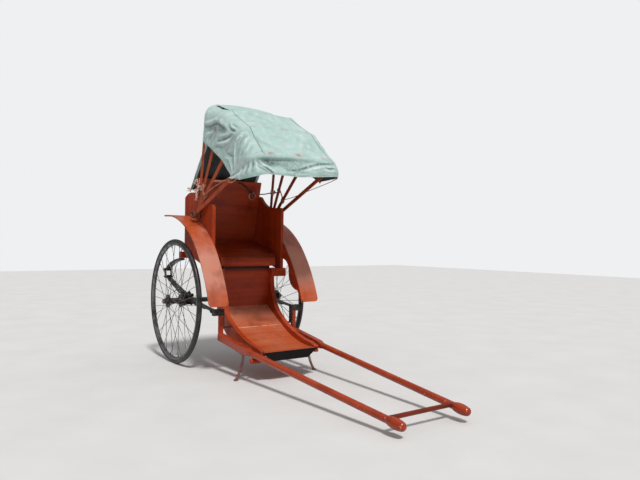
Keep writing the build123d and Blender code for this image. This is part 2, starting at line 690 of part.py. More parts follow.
def hood_frame():
    px, pz = PIVOT
    t = BOW_THICKNESS / 2
    last = BOWS[-1][2]
    bolt = rod((px, -last - 9, pz), (px, -PANEL_OUT, pz), PIVOT_R)
    bolt += rod((px, -last - 9, pz), (px, -last - t - 1.5, pz), PIVOT_HEAD_R)
    bolt += rod((px, -PANEL_OUT - PIVOT_WASHER, pz), (px, -PANEL_OUT, pz), PIVOT_WASHER_R)
    pair("hood_pivots", bolt)
    for name, deg, leg, lean, top, hem, gap in BOWS:
        band = bow_face(leg, lean, top, -BOW_TAIL, -t, t)
        bow = bow_plane(deg) * extrude(band, BOW_WIDTH / 2, both=True)
        parts[name] = bow - rod((px, -last - 20, pz), (px, last + 20, pz), PIVOT_R + 0.1)


def hood_canvas():
    t = BOW_THICKNESS / 2
    for a, b in zip(BOWS, BOWS[1:]):
        faces = []
        for (name, deg, leg, lean, top, hem, gap), ease in ((a, 0.05), (b, -0.05)):
            low, high = gap + t, gap + t + CANVAS_THICKNESS
            faces.append(bow_plane(deg + ease) * bow_face(leg, lean, top, hem, low, high))
        parts["canvas_" + a[0][-1] + b[0][-1]] = loft(faces, ruled=True)

    # rear curtain: down along the back of the first bow, then to the rear of the body
    angle = math.radians(BOWS[0][1])
    back = BOW_WIDTH / 2 + CANVAS_THICKNESS + 1
    line = [
        (
            PIVOT[0] + r * math.sin(angle) - back * math.cos(angle),
            PIVOT[1] + r * math.cos(angle) + back * math.sin(angle),
        )
        for r in CURTAIN_ALONG
    ]
    face = trace(Polyline(*line, CURTAIN_FOOT), line_width=CANVAS_THICKNESS)
    parts["rear_curtain"] = along_y(face, -CURTAIN_HALF, CURTAIN_HALF)
    # front valance: hangs from the front bow and returns a little along each side
    w, back, r, t = VALANCE_HALF, VALANCE_RETURN, VALANCE_CORNER_R, CANVAS_THICKNESS
    sheet = RectangleRounded(2 * back, 2 * w, r) - RectangleRounded(2 * (back - t), 2 * (w - t), r - t)
    sheet = Pos(VALANCE_FRONT - back, 0) * sheet
    sheet &= Pos(VALANCE_FRONT - back / 2, 0) * Rectangle(back, 2 * w + 10)
    low, high = VALANCE_Z
    parts["front_valance"] = Pos(0, 0, low) * extrude(sheet, high - low)


def build():
    wheel()
    axle_and_springs()
    shafts()
    foot_well()
    seat_and_panels()
    spring_mounts()
    legs_and_bar()
    mudguards()
    hood_frame()
    hood_canvas()


build()
os.makedirs("parts", exist_ok=True)
for name, shape in parts.items():
    export_step(Pos(TO_MIDDLE, 0, 0) * shape, f"parts/{name}.step")
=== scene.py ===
import json
import math
import random

import bpy
import numpy as np
from mathutils import Matrix, Vector, noise
from mathutils.bvhtree import BVHTree


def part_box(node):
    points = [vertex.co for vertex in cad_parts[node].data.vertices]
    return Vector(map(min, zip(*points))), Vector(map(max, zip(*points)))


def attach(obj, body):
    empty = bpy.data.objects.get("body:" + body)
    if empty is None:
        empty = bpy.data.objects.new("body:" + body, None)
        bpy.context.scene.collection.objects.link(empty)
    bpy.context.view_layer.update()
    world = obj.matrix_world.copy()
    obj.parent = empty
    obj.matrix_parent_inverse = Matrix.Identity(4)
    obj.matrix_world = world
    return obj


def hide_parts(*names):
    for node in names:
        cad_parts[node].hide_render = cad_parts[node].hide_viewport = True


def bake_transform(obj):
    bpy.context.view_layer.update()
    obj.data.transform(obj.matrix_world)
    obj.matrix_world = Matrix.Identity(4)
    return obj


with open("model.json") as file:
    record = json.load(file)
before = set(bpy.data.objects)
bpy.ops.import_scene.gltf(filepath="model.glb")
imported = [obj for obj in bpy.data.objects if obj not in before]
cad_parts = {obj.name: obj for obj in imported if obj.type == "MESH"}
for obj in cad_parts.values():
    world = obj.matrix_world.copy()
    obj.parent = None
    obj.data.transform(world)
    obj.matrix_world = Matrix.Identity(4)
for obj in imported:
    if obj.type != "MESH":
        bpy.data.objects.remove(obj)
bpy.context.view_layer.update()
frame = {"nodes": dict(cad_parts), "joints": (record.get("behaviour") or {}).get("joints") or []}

# Metres, in the model's frame: +X forward, +Y to the passenger's left, +Z up.
RNG = random.Random(11)
JOINT_AT = {joint["name"]: Vector(joint["pos_m"]) for joint in frame["joints"]}
PIVOT = JOINT_AT["hood_fold"]
WHEEL = JOINT_AT["wheel_right_spin"]
AXLE_X = WHEEL.x
NEAR, FAR = -1, 1

# Camera, from the photograph: focal length in pixels of a 640 wide image, angles in degrees
IMAGE_WIDTH = 640
FOCAL_PIXELS = 596.48
SENSOR_MM = 36.0
CAMERA_AT = (3.0453, -1.9641, 0.825)
CAMERA_YAW = 35.8828
CAMERA_PITCH = -0.2692
CAMERA_ROLL = 0.6938

# Hood cloth over the four bows. Heights are measured above the pivot, along each bow.
BOW_CORNER_R = 0.080
BOW_CROWN_R = 1.5
BOW_HALF = 0.003
CLOTH_HALF = 0.0015
HOOD = [
    # angle forward of upright, leg's place in Y, inward lean, top, hem at the near side, at the far side, clearance
    (8.0, 0.280, 0.3, 0.746, 0.488, 0.490, 0.0035),
    (27.5, 0.291, 0.8, 0.744, 0.467, 0.472, 0.0035),
    (48.5, 0.302, 1.2, 0.784, 0.500, 0.490, 0.0055),
    (67.5, 0.313, 1.5, 0.848, 0.566, 0.590, 0.0080),
]
PANEL_COLUMNS = 42
LEG_ROWS = 46
CORNER_ROWS = 18
CROWN_ROWS = 124
SEAM_ROWS = (LEG_ROWS + CORNER_ROWS, LEG_ROWS + CORNER_ROWS + CROWN_ROWS + 1)
SAG_TOP = 0.007
SAG_SIDE = 0.003
# the cloth hangs loose off the bows' far corners, one number a bow
FAR_SLACK = (0.0, 0.012, 0.009, 0.013)
HOOD_MIDDLE = (PIVOT.x + 0.30, 0.0, PIVOT.z + 0.25)
TEAR_GAP = 0.011
TEAR_REACH = 0.9
CLOTH_THICKNESS = 0.0014
WELD_REACH = 0.00005
SEAM_R = 0.0016
# painted shade in the folds' hollows, on the cover and the drape, and along the near side; painted highlight on the
# ridges
FOLD_SHADE = 0.62
DRAPE_FOLD_SHADE = 0.95
NEAR_SIDE_SHADE = 0.11
RIDGE_HIGHLIGHT = 0.95


def smooth(a, b, x):
    """0 up to a, 1 from b, and an S-curve between"""
    t = np.clip((np.asarray(x, float) - a) / (b - a), 0, 1)
    return t * t * (3 - 2 * t)


def bell(x, width):
    """1 at 0, falling off softly to either side"""
    return np.exp(-((x / width) ** 2))


def unit(ways):
    return ways / np.maximum(np.linalg.norm(ways, axis=-1, keepdims=True), 1e-9)


def wave_noise(point, scale, seed):
    """smooth noise from about -1 to 1 at a place"""
    return noise.noise(Vector(point) * scale + Vector((seed, seed * 0.7, -seed)))


def ripples(point, waves):
    """waves of noise at a place, each (scale, seed, depth)"""
    return sum(wave_noise(point, scale, seed) * depth for scale, seed, depth in waves)


def from_axle(points):
    """places whose X is given from the axle, in the model's frame"""
    return [(x + AXLE_X, y, z) for x, y, z in points]


def upright(degrees):
    """unit ways up and forward, both turned forward from upright by an angle"""
    a = math.radians(degrees)
    return Vector((math.sin(a), 0, math.cos(a))), Vector((math.cos(a), 0, -math.sin(a)))


# Materials


def add_node(tree, kind, inputs=(), **settings):
    """a shader node with its inputs, by name or number, and its settings"""
    made = tree.nodes.new("ShaderNode" + kind)
    for key, value in settings.items():
        setattr(made, key, value)
    for key, value in dict(inputs).items():
        put(tree, made.inputs[key], value)
    return made


def put(tree, socket, value):
    """links another socket, or sets a number or a colour"""
    if isinstance(value, bpy.types.NodeSocket):
        tree.links.new(value, socket)
    elif isinstance(value, tuple) and socket.type == "RGBA":
        socket.default_value = (*value, 1.0)
    else:
        socket.default_value = value


class Finish:
    """a node-based material, with short calls for its nodes"""

    def __init__(self, name, metallic=0.0):
        self.material = bpy.data.materials.new(name)
        self.material.use_nodes = True
        self.tree = self.material.node_tree
        self.shader = self.tree.nodes["Principled BSDF"]
        self.shader.inputs["Metallic"].default_value = metallic
        self.place = self.node("TexCoord").outputs["Object"]
        self.heights = []

    def node(self, kind, inputs=(), **settings):
        return add_node(self.tree, kind, inputs, **settings)

    def math(self, operation, a, b=0.0):
        return self.node("Math", {0: a, 1: b}, operation=operation).outputs[0]

    def times(self, a, b):
        return self.math("MULTIPLY", a, b)

    def remap(self, value, low, high, to_low=0.0, to_high=1.0):
        return self.node("MapRange", enumerate((value, low, high, to_low, to_high))).outputs[0]

    def noise(self, scale, low=0.4, high=0.6, stretch=(1, 1, 1), detail=3.0):
        moved = self.node("Mapping", {"Vector": self.place, "Scale": stretch}).outputs[0]
        made = self.node("TexNoise", {"Vector": moved, "Scale": scale, "Detail": detail})
        return self.remap(made.outputs["Fac"], low, high)

    def wave(self, place, scale, distortion, direction):
        inputs = {"Vector": place, "Scale": scale, "Distortion": distortion}
        return self.node("TexWave", inputs, bands_direction=direction).outputs["Fac"]

    def mix(self, factor, a, b):
        return self.node("Mix", {"Factor": factor, 6: a, 7: b}, data_type="RGBA").outputs[2]

    def split(self, source=None):
        return self.node("SeparateXYZ", {0: source or self.place}).outputs

    def normal(self):
        return self.node("NewGeometry").outputs["Normal"]

    def facing_up(self, low, high):
        return self.remap(self.split(self.normal())["Z"], low, high)

    def edges(self, radius):
        """1 along sharp edges"""
        bevel = self.node("Bevel", {"Radius": radius}, samples=4).outputs[0]
        dot = self.node("VectorMath", {0: bevel, 1: self.normal()}, operation="DOT_PRODUCT")
        return self.remap(dot.outputs["Value"], 0.98, 0.80)

    def band(self, x, half):
        """1 within half of a place along X, fading to 0 over as much again"""
        away = self.math("ABSOLUTE", self.math("SUBTRACT", self.split()["X"], x))
        return self.remap(away, half * 2, half)

    def value_of(self, name):
        """a named number that the mesh carries"""
        return self.node("Attribute", attribute_name=name).outputs["Fac"]

    def bump(self, height, distance):
        self.heights.append((height, distance))

    def relief(self, scale, distance, detail=3.0):
        """an even relief of noise"""
        self.bump(self.noise(scale, 0.3, 0.7, detail=detail), distance)

    def finish(self, colour, roughness):
        inputs = {"Base Color": colour, "Roughness": roughness}
        below = {}
        for height, distance in self.heights:
            normal = self.node("Bump", {"Height": height, "Distance": distance, **below}).outputs[0]
            below = {"Normal": normal}
        for key, value in {**inputs, **below}.items():
            put(self.tree, self.shader.inputs[key], value)
        return self.material


PAINT_SPECULAR = 0.22
COAT_ROUGHNESS = 0.14
BARE_WOOD = (0.62, 0.37, 0.26)
RUBBED_PAINT = (0.74, 0.56, 0.50)
PAINT_SPECK = (0.10, 0.03, 0.02)
JOINT_LINE = (0.03, 0.012, 0.008)
# the colour of painted shade in a shaded corner
PAINTED_CORNER_SHADE = (0.014, 0.004, 0.003)
# how much the grain's noise is drawn out along the wood
GRAIN_STRETCH = 0.06


def painted_wood(name, base, deep, pale_dust_and_sheen, along, wear=0.5, gloss=0.40, dust=0.22, coat=0.04, worn_at=(), joint=None,
                 sheen_band=None, scratched=None, corner_shade=None):
    """old gloss paint over wood whose grain runs along an axis

    worn_at lists (X, half width) of chipped rings, joint is the X of a glued joint's line, and bleached is
    (lowest, highest, share) of a stretch by height painted paler, as painted sheen; scratched is the X of a joint
    rubbed pale, and sooty is (from, to) of the height over which painted shade darkens a shaded corner; dust also
    sets how much paler the up-facing faces are painted, partly as dust and partly as painted sheen
    """
    f = Finish(name)
    f.shader.inputs["Specular IOR Level"].default_value = PAINT_SPECULAR
    f.shader.inputs["Coat Weight"].default_value = coat
    f.shader.inputs["Coat Roughness"].default_value = COAT_ROUGHNESS
    stretch = tuple(GRAIN_STRETCH if axis == along else 1.0 for axis in "XYZ")
    grain = f.noise(70, 0.35, 0.65, stretch, detail=4)
    streak = f.noise(16, 0.42, 0.62, stretch, detail=3)
    patches = f.noise(5, 0.45, 0.7)
    colour = f.mix(f.times(grain, 0.35), base, deep)
    colour = f.mix(f.times(streak, 0.55), colour, deep)
    # up-facing faces are painted paler: partly dust, partly painted sheen of the light from above
    up = f.facing_up(0.15, 0.9)
    dust_and_sheen = f.times(f.math("ADD", f.times(up, dust), dust * 0.3), patches)
    colour = f.mix(dust_and_sheen, colour, pale_dust_and_sheen)
    # painted sheen: a stretch by height painted paler
    if sheen_band:
        low, high, share = sheen_band
        height = f.split()["Z"]
        inside = f.times(f.remap(height, low - 0.06, low + 0.03), f.remap(height, high + 0.05, high - 0.06))
        colour = f.mix(f.times(inside, share), colour, pale_dust_and_sheen)
    if joint:
        colour = f.mix(f.times(f.band(joint, 0.0008), 0.9), colour, JOINT_LINE)
    if scratched:
        rubbed = f.times(f.band(scratched, 0.0012), f.noise(45, 0.36, 0.56, detail=4))
        colour = f.mix(f.times(rubbed, 0.85), colour, RUBBED_PAINT)
    # painted shade: darker up to the top of a height span, as under an overhang
    if corner_shade:
        colour = f.mix(f.remap(f.split()["Z"], *corner_shade, 0.0, 0.95), colour, PAINTED_CORNER_SHADE)
    grime = f.noise(9, 0.52, 0.75, detail=5)
    colour = f.mix(f.times(grime, 0.5), colour, tuple(c * 0.35 for c in deep))
    chips = f.times(f.edges(0.004), f.noise(55, 0.5, 0.6, detail=4))
    for x, half in worn_at:
        flakes = f.times(f.band(x, half), f.noise(110, 0.62, 0.66, detail=3))
        chips = f.math("MAXIMUM", chips, flakes)
    colour = f.mix(f.times(chips, wear), colour, BARE_WOOD)
    specks = f.noise(260, 0.70, 0.74, detail=2)
    colour = f.mix(f.times(specks, 0.5), colour, PAINT_SPECK)
    f.bump(grain, 0.0004)
    f.relief(30, 0.0008, 4)
    f.bump(chips, -0.0005)
    rough = f.math("ADD", f.remap(patches, 0, 1, gloss, gloss + 0.2), f.times(chips, 0.3))
    return f.finish(colour, rough)


def aged_metal(name, base, dark, rust, amount, metallic=0.8, gloss=0.38):
    """metal with dark grime and rust in patches"""
    f = Finish(name, metallic)
    colour = f.mix(f.noise(22, 0.4, 0.65, detail=5), base, dark)
    rusty = f.times(f.noise(38, 0.5, 0.68, detail=6), amount)
    colour = f.mix(rusty, colour, rust)
    worn = f.times(f.edges(0.002), 0.6)
    colour = f.mix(worn, colour, tuple(min(1.0, c * 2.2) for c in base))
    put(f.tree, f.shader.inputs["Metallic"], f.remap(rusty, 0, 1, metallic, 0.1))
    f.relief(140, 0.0003, 4)
    f.relief(25, 0.0006, 2)
    return f.finish(colour, f.remap(rusty, 0, 1, gloss, 0.85))


TYRE_BLACK = (0.012, 0.012, 0.012)
TYRE_DUST = (0.068, 0.066, 0.060)
TYRE_LINE = (0.006, 0.006, 0.006)
TYRE_CRACK = (0.004, 0.004, 0.004)
# radii of the moulded lines
TYRE_LINES = (0.3960, 0.4080)


def rubber():
    """dusty black rubber with two moulded lines round each side of the tyre"""
    f = Finish("tyre_rubber")
    dust = f.times(f.noise(18, 0.45, 0.7, detail=5), 0.7)
    place = f.split()
    across = f.math("SUBTRACT", place["X"], WHEEL.x)
    up = f.math("SUBTRACT", place["Z"], WHEEL.z)
    radius = f.math("SQRT", f.math("ADD", f.math("POWER", across, 2.0), f.math("POWER", up, 2.0)))
    lines = (f.remap(f.math("ABSOLUTE", f.math("SUBTRACT", radius, r)), 0.0016, 0.0004) for r in TYRE_LINES)
    lines = f.math("MAXIMUM", *lines)
    colour = f.mix(dust, TYRE_BLACK, TYRE_DUST)
    colour = f.mix(f.times(lines, 0.7), colour, TYRE_LINE)
    f.bump(lines, -0.0010)
    cracks = f.noise(160, 0.58, 0.66, detail=6)
    colour = f.mix(f.times(cracks, 0.5), colour, TYRE_CRACK)
    f.relief(220, 0.0004, 4)
    f.bump(cracks, -0.0004)
    return f.finish(colour, f.remap(dust, 0, 0.7, 0.34, 0.70))


CLOTH = (0.500, 0.690, 0.660)
CLOTH_DULLER = (0.370, 0.555, 0.530)
CLOTH_PALER = (0.570, 0.725, 0.700)
CLOTH_BLOTCH = (0.330, 0.440, 0.395)
CLOTH_RUST = (0.500, 0.195, 0.190)
CLOTH_STREAK = (0.300, 0.425, 0.390)
# grime, and painted shade in the folds, the hollows and on the near side
CLOTH_DIRT_AND_SHADE = (0.070, 0.095, 0.085)
# painted highlight on the ridges
CLOTH_HIGHLIGHT = (0.83, 0.92, 0.91)
CLOTH_THREAD = (0.26, 0.36, 0.34)


def canvas():
    """pale green cotton with its weave, weather marks and rust from the nails and bows, grime at the hems,
    and painted shade in the folds' hollows and on the near side, and painted highlight on the ridges
    """
    f = Finish("hood_canvas")
    cloth = f.node("TexCoord").outputs["UV"]
    blotch = f.times(f.noise(11, 0.56, 0.72, detail=6), 0.45)
    weave = f.math("MAXIMUM", *(f.wave(cloth, 170.0, 0.6, direction) for direction in "YX"))
    colour = CLOTH
    for share, tint in (
        (f.noise(4, 0.35, 0.7, detail=5), CLOTH_DULLER),
        (f.noise(26, 0.45, 0.75, detail=5), CLOTH_PALER),
        (blotch, CLOTH_BLOTCH),
        (f.times(f.value_of("rust"), f.noise(48, 0.30, 0.62, detail=5)), CLOTH_RUST),
        (f.times(f.noise(30, 0.50, 0.80, (1.0, 1.0, 0.15), detail=4), 0.35), CLOTH_STREAK),
        # grime at the hems, with painted shade in the folds, the drape's hollow and on the near side
        (f.times(f.value_of("dirt_and_shade"), f.noise(60, 0.2, 0.6, detail=4)), CLOTH_DIRT_AND_SHADE),
        # painted highlight on the ridges
        (f.times(f.value_of("pale"), f.noise(40, 0.25, 0.6, detail=4)), CLOTH_HIGHLIGHT),
        (f.times(weave, 0.12), CLOTH_THREAD),
    ):
        colour = f.mix(share, colour, tint)
    f.bump(weave, 0.00035)
    f.relief(34, 0.0009, 4)
    f.shader.inputs["Sheen Weight"].default_value = 0.15
    return f.finish(colour, f.remap(blotch, 0, 0.45, 0.82, 0.92))


def hemp(name, shade, light, stain):
    """twisted rope"""
    f = Finish(name)
    twist = f.wave(f.place, 60.0, 2.0, "DIAGONAL")
    colour = f.mix(f.noise(30, 0.45, 0.7), f.mix(twist, shade, light), stain)
    f.bump(twist, 0.0012)
    f.relief(400, 0.0004)
    return f.finish(colour, 0.9)


def inner_shade_cloth():
    """the cover's inner side, painted nearly black as the shade inside the hood"""
    f = Finish("hood_inner_shade")
    colour = f.mix(f.noise(14, 0.35, 0.7, detail=5), (0.030, 0.042, 0.040), (0.062, 0.080, 0.074))
    colour = f.mix(f.times(f.noise(5, 0.5, 0.7), 0.6), colour, (0.022, 0.024, 0.022))
    f.relief(180, 0.0004, 3)
    f.relief(30, 0.0009, 4)
    return f.finish(colour, 0.92)


BRICK = (0.450, 0.052, 0.009)
BRICK_DEEP = (0.240, 0.020, 0.004)
SALMON = (0.600, 0.200, 0.105)
RED_X = painted_wood("red_paint_grain_along", BRICK, BRICK_DEEP, SALMON, "X")
RED_Y = painted_wood("red_paint_grain_across", BRICK, BRICK_DEEP, SALMON, "Y")
RED_Z = painted_wood("red_paint_grain_upright", BRICK, BRICK_DEEP, SALMON, "Z")
SHAFT_PAINT = painted_wood(
    "shaft_paint", (0.395, 0.044, 0.010), BRICK_DEEP, (0.540, 0.160, 0.080), "X", 0.8, 0.27, 0.16, 0.35,
    ((0.928, 0.005), (1.003, 0.004), (1.131, 0.004), (1.226, 0.003)), -0.083,
)
# the mudguards are painted paler over their middle heights, as painted sheen
GUARD_PAINT = painted_wood(
    "mudguard_paint", (0.480, 0.092, 0.030), (0.380, 0.056, 0.015), (0.660, 0.320, 0.245), "X", 0.5, 0.26, 0.30, 0.20,
    sheen_band=(0.55, 0.80, 0.58),
)
# the footboard's upper part is painted paler, as painted sheen; its rubbed joint is real wear
FOOT_PAINT = painted_wood(
    "footboard_paint", (0.500, 0.108, 0.036), (0.330, 0.052, 0.016), (0.640, 0.260, 0.170), "Y", 0.6, 0.32, 0.22, 0.12,
    sheen_band=(0.335, 0.62, 0.62), scratched=-0.343,
)
SHADE_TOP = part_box("seat_front")[1].z
# the seat front is painted darker just under the seat's lip, as the lip's painted shadow
FRONT_PAINT = painted_wood(
    "seat_front_paint", BRICK, BRICK_DEEP, SALMON, "Y", corner_shade=(SHADE_TOP - 0.045, SHADE_TOP - 0.012)
)
CROSSBAR_PAINT = painted_wood(
    "crossbar_paint", (0.200, 0.026, 0.008), (0.110, 0.011, 0.004), (0.340, 0.100, 0.056), "Y", 0.7, 0.34, 0.12, 0.10
)
BOW_PAINT = painted_wood(
    "bow_paint", (0.450, 0.082, 0.026), (0.270, 0.036, 0.011), (0.600, 0.235, 0.150), "Z", 0.6, 0.38, 0.22
)
BLACK_PAINT = painted_wood(
    "black_paint", (0.006, 0.003, 0.003), (0.003, 0.002, 0.002), (0.020, 0.012, 0.011), "Y", 0.10, 0.65, 0.0, 0.0
)
RIM_STEEL = aged_metal(
    "rim_steel", (0.240, 0.245, 0.262), (0.070, 0.071, 0.078), (0.110, 0.055, 0.033), 0.5, 0.85, 0.28
)
DARK_IRON = aged_metal("dark_iron", (0.070, 0.068, 0.066), (0.024, 0.022, 0.021), (0.100, 0.045, 0.024), 0.5, 0.6)
LEG_STEEL = aged_metal("leg_steel", (0.340, 0.195, 0.180), (0.150, 0.065, 0.056), (0.260, 0.085, 0.055), 0.6, 0.5)
RUBBER = rubber()
CANVAS = canvas()
INNER_SHADE = inner_shade_cloth()
PALE_ROPE = hemp("rope_pale", (0.42, 0.26, 0.22), (0.84, 0.68, 0.62), (0.56, 0.26, 0.19))
ROPE = hemp("rope_painted_over", (0.25, 0.085, 0.045), (0.60, 0.28, 0.18), (0.36, 0.10, 0.05))
DARK_ROPE = hemp("rope_stained", (0.070, 0.030, 0.020), (0.300, 0.120, 0.070), (0.160, 0.050, 0.028))

NODE_FINISHES = {
    RED_X: ("foot_rail_left", "foot_rail_right", "guard_webs"),
    SHAFT_PAINT: ("shaft_left", "shaft_right"),
    CROSSBAR_PAINT: ("crossbar",),
    FRONT_PAINT: ("seat_front",),
    RED_Y: ("seat", "seat_beam", "rear_beam", "under_bar", "seat_box_bottom", "backrest"),
    RED_Z: ("side_panel_left", "side_panel_right", "rear_board", "seat_box_sides", "shaft_posts"),
    GUARD_PAINT: ("mudguard_left", "mudguard_right"),
    FOOT_PAINT: ("footboard",),
    BOW_PAINT: ("bow_1", "bow_2", "bow_3", "bow_4"),
    BLACK_PAINT: ("apron",),
    RIM_STEEL: ("spoked_rim_left", "spoked_rim_right"),
    DARK_IRON: (
        "hub_left", "hub_right", "axle", "leaf_spring_left", "leaf_spring_right", "spring_clamps",
        "spring_brackets", "rear_hanger_left", "rear_hanger_right", "rear_shackles", "hood_pivots",
    ),
    LEG_STEEL: ("leg_left", "leg_right"),
    RUBBER: ("tyre_left", "tyre_right"),
}
for finish, names in NODE_FINISHES.items():
    for name in names:
        mesh = frame["nodes"][name].data
        mesh.materials.clear()
        mesh.materials.append(finish)

# Mesh helpers


class Shape:
    """faces gathered from several small forms, to become one piece"""

    def __init__(self):
        self.points = []
        self.faces = []

    def add(self, points, faces):
        first = len(self.points)
        self.points += [tuple(p) for p in points]
        self.faces += [tuple(first + i for i in face) for face in faces]

    def rings(self, rings, sides, closed_ends=True):
        """a skin over round rings, each given by its middle, two ways across it and its radius"""
        turn = [2 * math.pi * k / sides for k in range(sides)]
        points = [p + (side * math.cos(a) + other * math.sin(a)) * r for p, side, other, r in rings for a in turn]
        faces = []
        for first in range(0, len(points) - sides, sides):
            for k in range(sides):
                a, b = first + k, first + (k + 1) % sides
                faces.append((a, b, b + sides, a + sides))
        if closed_ends:
            faces += [tuple(reversed(range(sides))), tuple(range(len(points) - sides, len(points)))]
        self.add(points, faces)

    def tube(self, path, radius, sides=8, closed_ends=True):
        """a round tube along a path; radius is a number or one for each point"""
        path = [Vector(p) for p in path]
        radii = [radius] * len(path) if isinstance(radius, float) else radius
        rings = []
        side = None
        for before, p, after, r in zip(path[:1] + path, path, path[1:] + path[-1:], radii):
            way = (after - before).normalized()
            side = way.orthogonal().normalized() if side is None else side
            side = (side - way * side.dot(way)).normalized()
            rings.append((p, side, way.cross(side), r))
        self.rings(rings, sides, closed_ends)

    def turned(self, at, way, profile, sides):
        """a turned form standing at a place: profile is (height, radius) pairs"""
        way = Vector(way).normalized()
        side = way.orthogonal().normalized()
        other = way.cross(side)
        self.rings([(Vector(at) + way * h, side, other, r) for h, r in profile], sides)

    def piece(self, name, finish, body=None, shade_smooth=True):
        made = mesh_piece(name, self.points, self.faces, finish, shade_smooth)
        if body:
            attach(made, body)
        return made


def mesh_piece(name, points, faces, finish, shade_smooth=True):
    mesh = bpy.data.meshes.new(name)
    mesh.from_pydata([tuple(p) for p in points], [], faces)
    mesh.polygons.foreach_set("use_smooth", [shade_smooth] * len(mesh.polygons))
    mesh.materials.append(finish)
    mesh.validate()
    made = bpy.data.objects.new(name, mesh)
    bpy.context.scene.collection.objects.link(made)
    return made


def cloth_piece(name, grid, flat_uv, rust, dirt_and_shade, pale, gaps=(), side_hem=0):
    """a sheet from a grid of points [row][column], with each point's rust, grime, painted shade and painted highlight

    gaps are the rows with no cloth after them; side_hem is how many columns at each side are folded over
    """
    rows, columns = grid.shape[:2]
    index = np.arange(rows * columns).reshape(rows, columns)
    corners = ((0, 0), (0, 1), (1, 1), (1, 0))
    faces = [tuple(int(index[i + down, j + across]) for down, across in corners)
             for i in range(rows - 1) if i not in gaps for j in range(columns - 1)]
    points = grid.reshape(-1, 3)
    a, b, c = (points[[f[k] for f in faces]] for k in (0, 1, 2))
    if np.sum(np.cross(b - a, c - a) * (a - np.array(HOOD_MIDDLE))) < 0:
        faces = [f[::-1] for f in faces]
    made = mesh_piece(name, points, faces, CANVAS)
    mesh = made.data
    # the inner face is painted nearly black, as the shade inside the hood
    mesh.materials.append(INNER_SHADE)
    if side_hem:
        mesh.materials.append(CANVAS)
        column = np.arange(len(faces)) % (columns - 1)
        folded = (column < side_hem) | (column >= columns - 1 - side_hem)
        mesh.polygons.foreach_set("material_index", np.where(folded, 2, 0).astype(np.int32))
    for key, values in (("rust", rust), ("dirt_and_shade", dirt_and_shade), ("pale", pale)):
        attribute = mesh.attributes.new(key, "FLOAT", "POINT")
        attribute.data.foreach_set("value", values.reshape(-1).astype(np.float32))
    uv = mesh.uv_layers.new(name="cloth")
    spread = flat_uv.reshape(-1, 2)
    uv.data.foreach_set("uv", np.array([spread[loop.vertex_index] for loop in mesh.loops]).reshape(-1))
    weld = made.modifiers.new("weld", "WELD")
    weld.merge_threshold = WELD_REACH
    thick = made.modifiers.new("thickness", "SOLIDIFY")
    thick.thickness = CLOTH_THICKNESS
    thick.offset = 0.0
    thick.material_offset = 1
    return made


def flat_lengths(grid):
    """how far each point lies along the cloth, by rows and by columns"""
    down = np.linalg.norm(np.diff(grid, axis=0), axis=2)
    across = np.linalg.norm(np.diff(grid, axis=1), axis=2)
    v = np.vstack([np.zeros((1, grid.shape[1])), np.cumsum(down, axis=0)])
    u = np.hstack([np.zeros((grid.shape[0], 1)), np.cumsum(across, axis=1)])
    return np.stack([u, v], axis=2)


def normals_of(grid):
    """unit normals of a grid, pointing away from the hood's middle"""
    du = np.gradient(grid, axis=1)
    dv = np.gradient(grid, axis=0)
    n = unit(np.cross(du, dv))
    flip = np.sign(np.sum(n * (grid - np.array(HOOD_MIDDLE)), axis=2, keepdims=True))
    return n * np.where(flip == 0, 1, flip)


def crease_depth(grid, creases):
    """sum of soft grooves and ridges along lines, each drawn through the nearest places on the cloth"""
    total = np.zeros(grid.shape[:2])
    flat = grid.reshape(-1, 3)
    for line, width, depth in creases:
        line = [flat[np.argmin(np.sum((flat - np.array(p)) ** 2, axis=1))] for p in line]
        nearest = np.full(grid.shape[:2], 9.0)
        fade = np.zeros(grid.shape[:2])
        steps = len(line) - 1
        for k in range(steps):
            a, b = line[k], line[k + 1]
            t = np.clip(((grid - a) @ (b - a)) / max(float((b - a) @ (b - a)), 1e-9), 0, 1)
            distance = np.linalg.norm(grid - (a + t[..., None] * (b - a)), axis=2)
            share = (k + t) / steps
            closer = distance < nearest
            fade = np.where(closer, np.sin(math.pi * np.clip(0.08 + 0.84 * share, 0, 1)) ** 0.6, fade)
            nearest = np.minimum(nearest, distance)
        total += depth * fade * bell(nearest, width)
    return total


# Hood


def half_outline(leg, lean, top, low, shift):
    """(Y, height) rows of one half of the cloth's section at a bow, from the hem up to the crown"""
    a = math.radians(lean)
    corner, crown = BOW_CORNER_R, BOW_CROWN_R
    z0 = top - corner
    for _ in range(5):
        side = leg - corner / math.cos(a) - z0 * math.tan(a)
        theta = math.asin(side / (crown - corner))
        z0 = top - crown + (crown - corner) * math.cos(theta)
    r = corner + shift
    start = (side + r * math.cos(a), z0 + r * math.sin(a))
    last = math.pi / 2 - theta
    rows = []
    for k in range(LEG_ROWS):
        h = low + (start[1] - low) * k / LEG_ROWS
        rows.append((start[0] + (start[1] - h) * math.tan(a), h))
    for k in range(CORNER_ROWS + 1):
        angle = a + (last - a) * k / CORNER_ROWS
        rows.append((side + r * math.cos(angle), z0 + r * math.sin(angle)))
    return rows, theta


def bow_section(angle, leg, lean, top, near_hem, far_hem, clearance):
    """points of the cloth's section at a bow, from the near hem over the crown to the far hem"""
    shift = clearance + BOW_HALF + CLOTH_HALF
    near, theta = half_outline(leg, lean, top, near_hem, shift)
    far, _ = half_outline(leg, lean, top, far_hem, shift)
    crown = BOW_CROWN_R
    flat = [(-y, h) for y, h in near]
    for k in range(CROWN_ROWS + 1):
        a = -theta + 2 * theta * k / CROWN_ROWS
        flat.append(((crown + shift) * math.sin(a), top - crown + (crown + shift) * math.cos(a)))
    flat += list(reversed(far))
    s, c = math.sin(math.radians(angle)), math.cos(math.radians(angle))
    return np.array([(PIVOT.x + h * s, y, PIVOT.z + h * c) for y, h in flat])


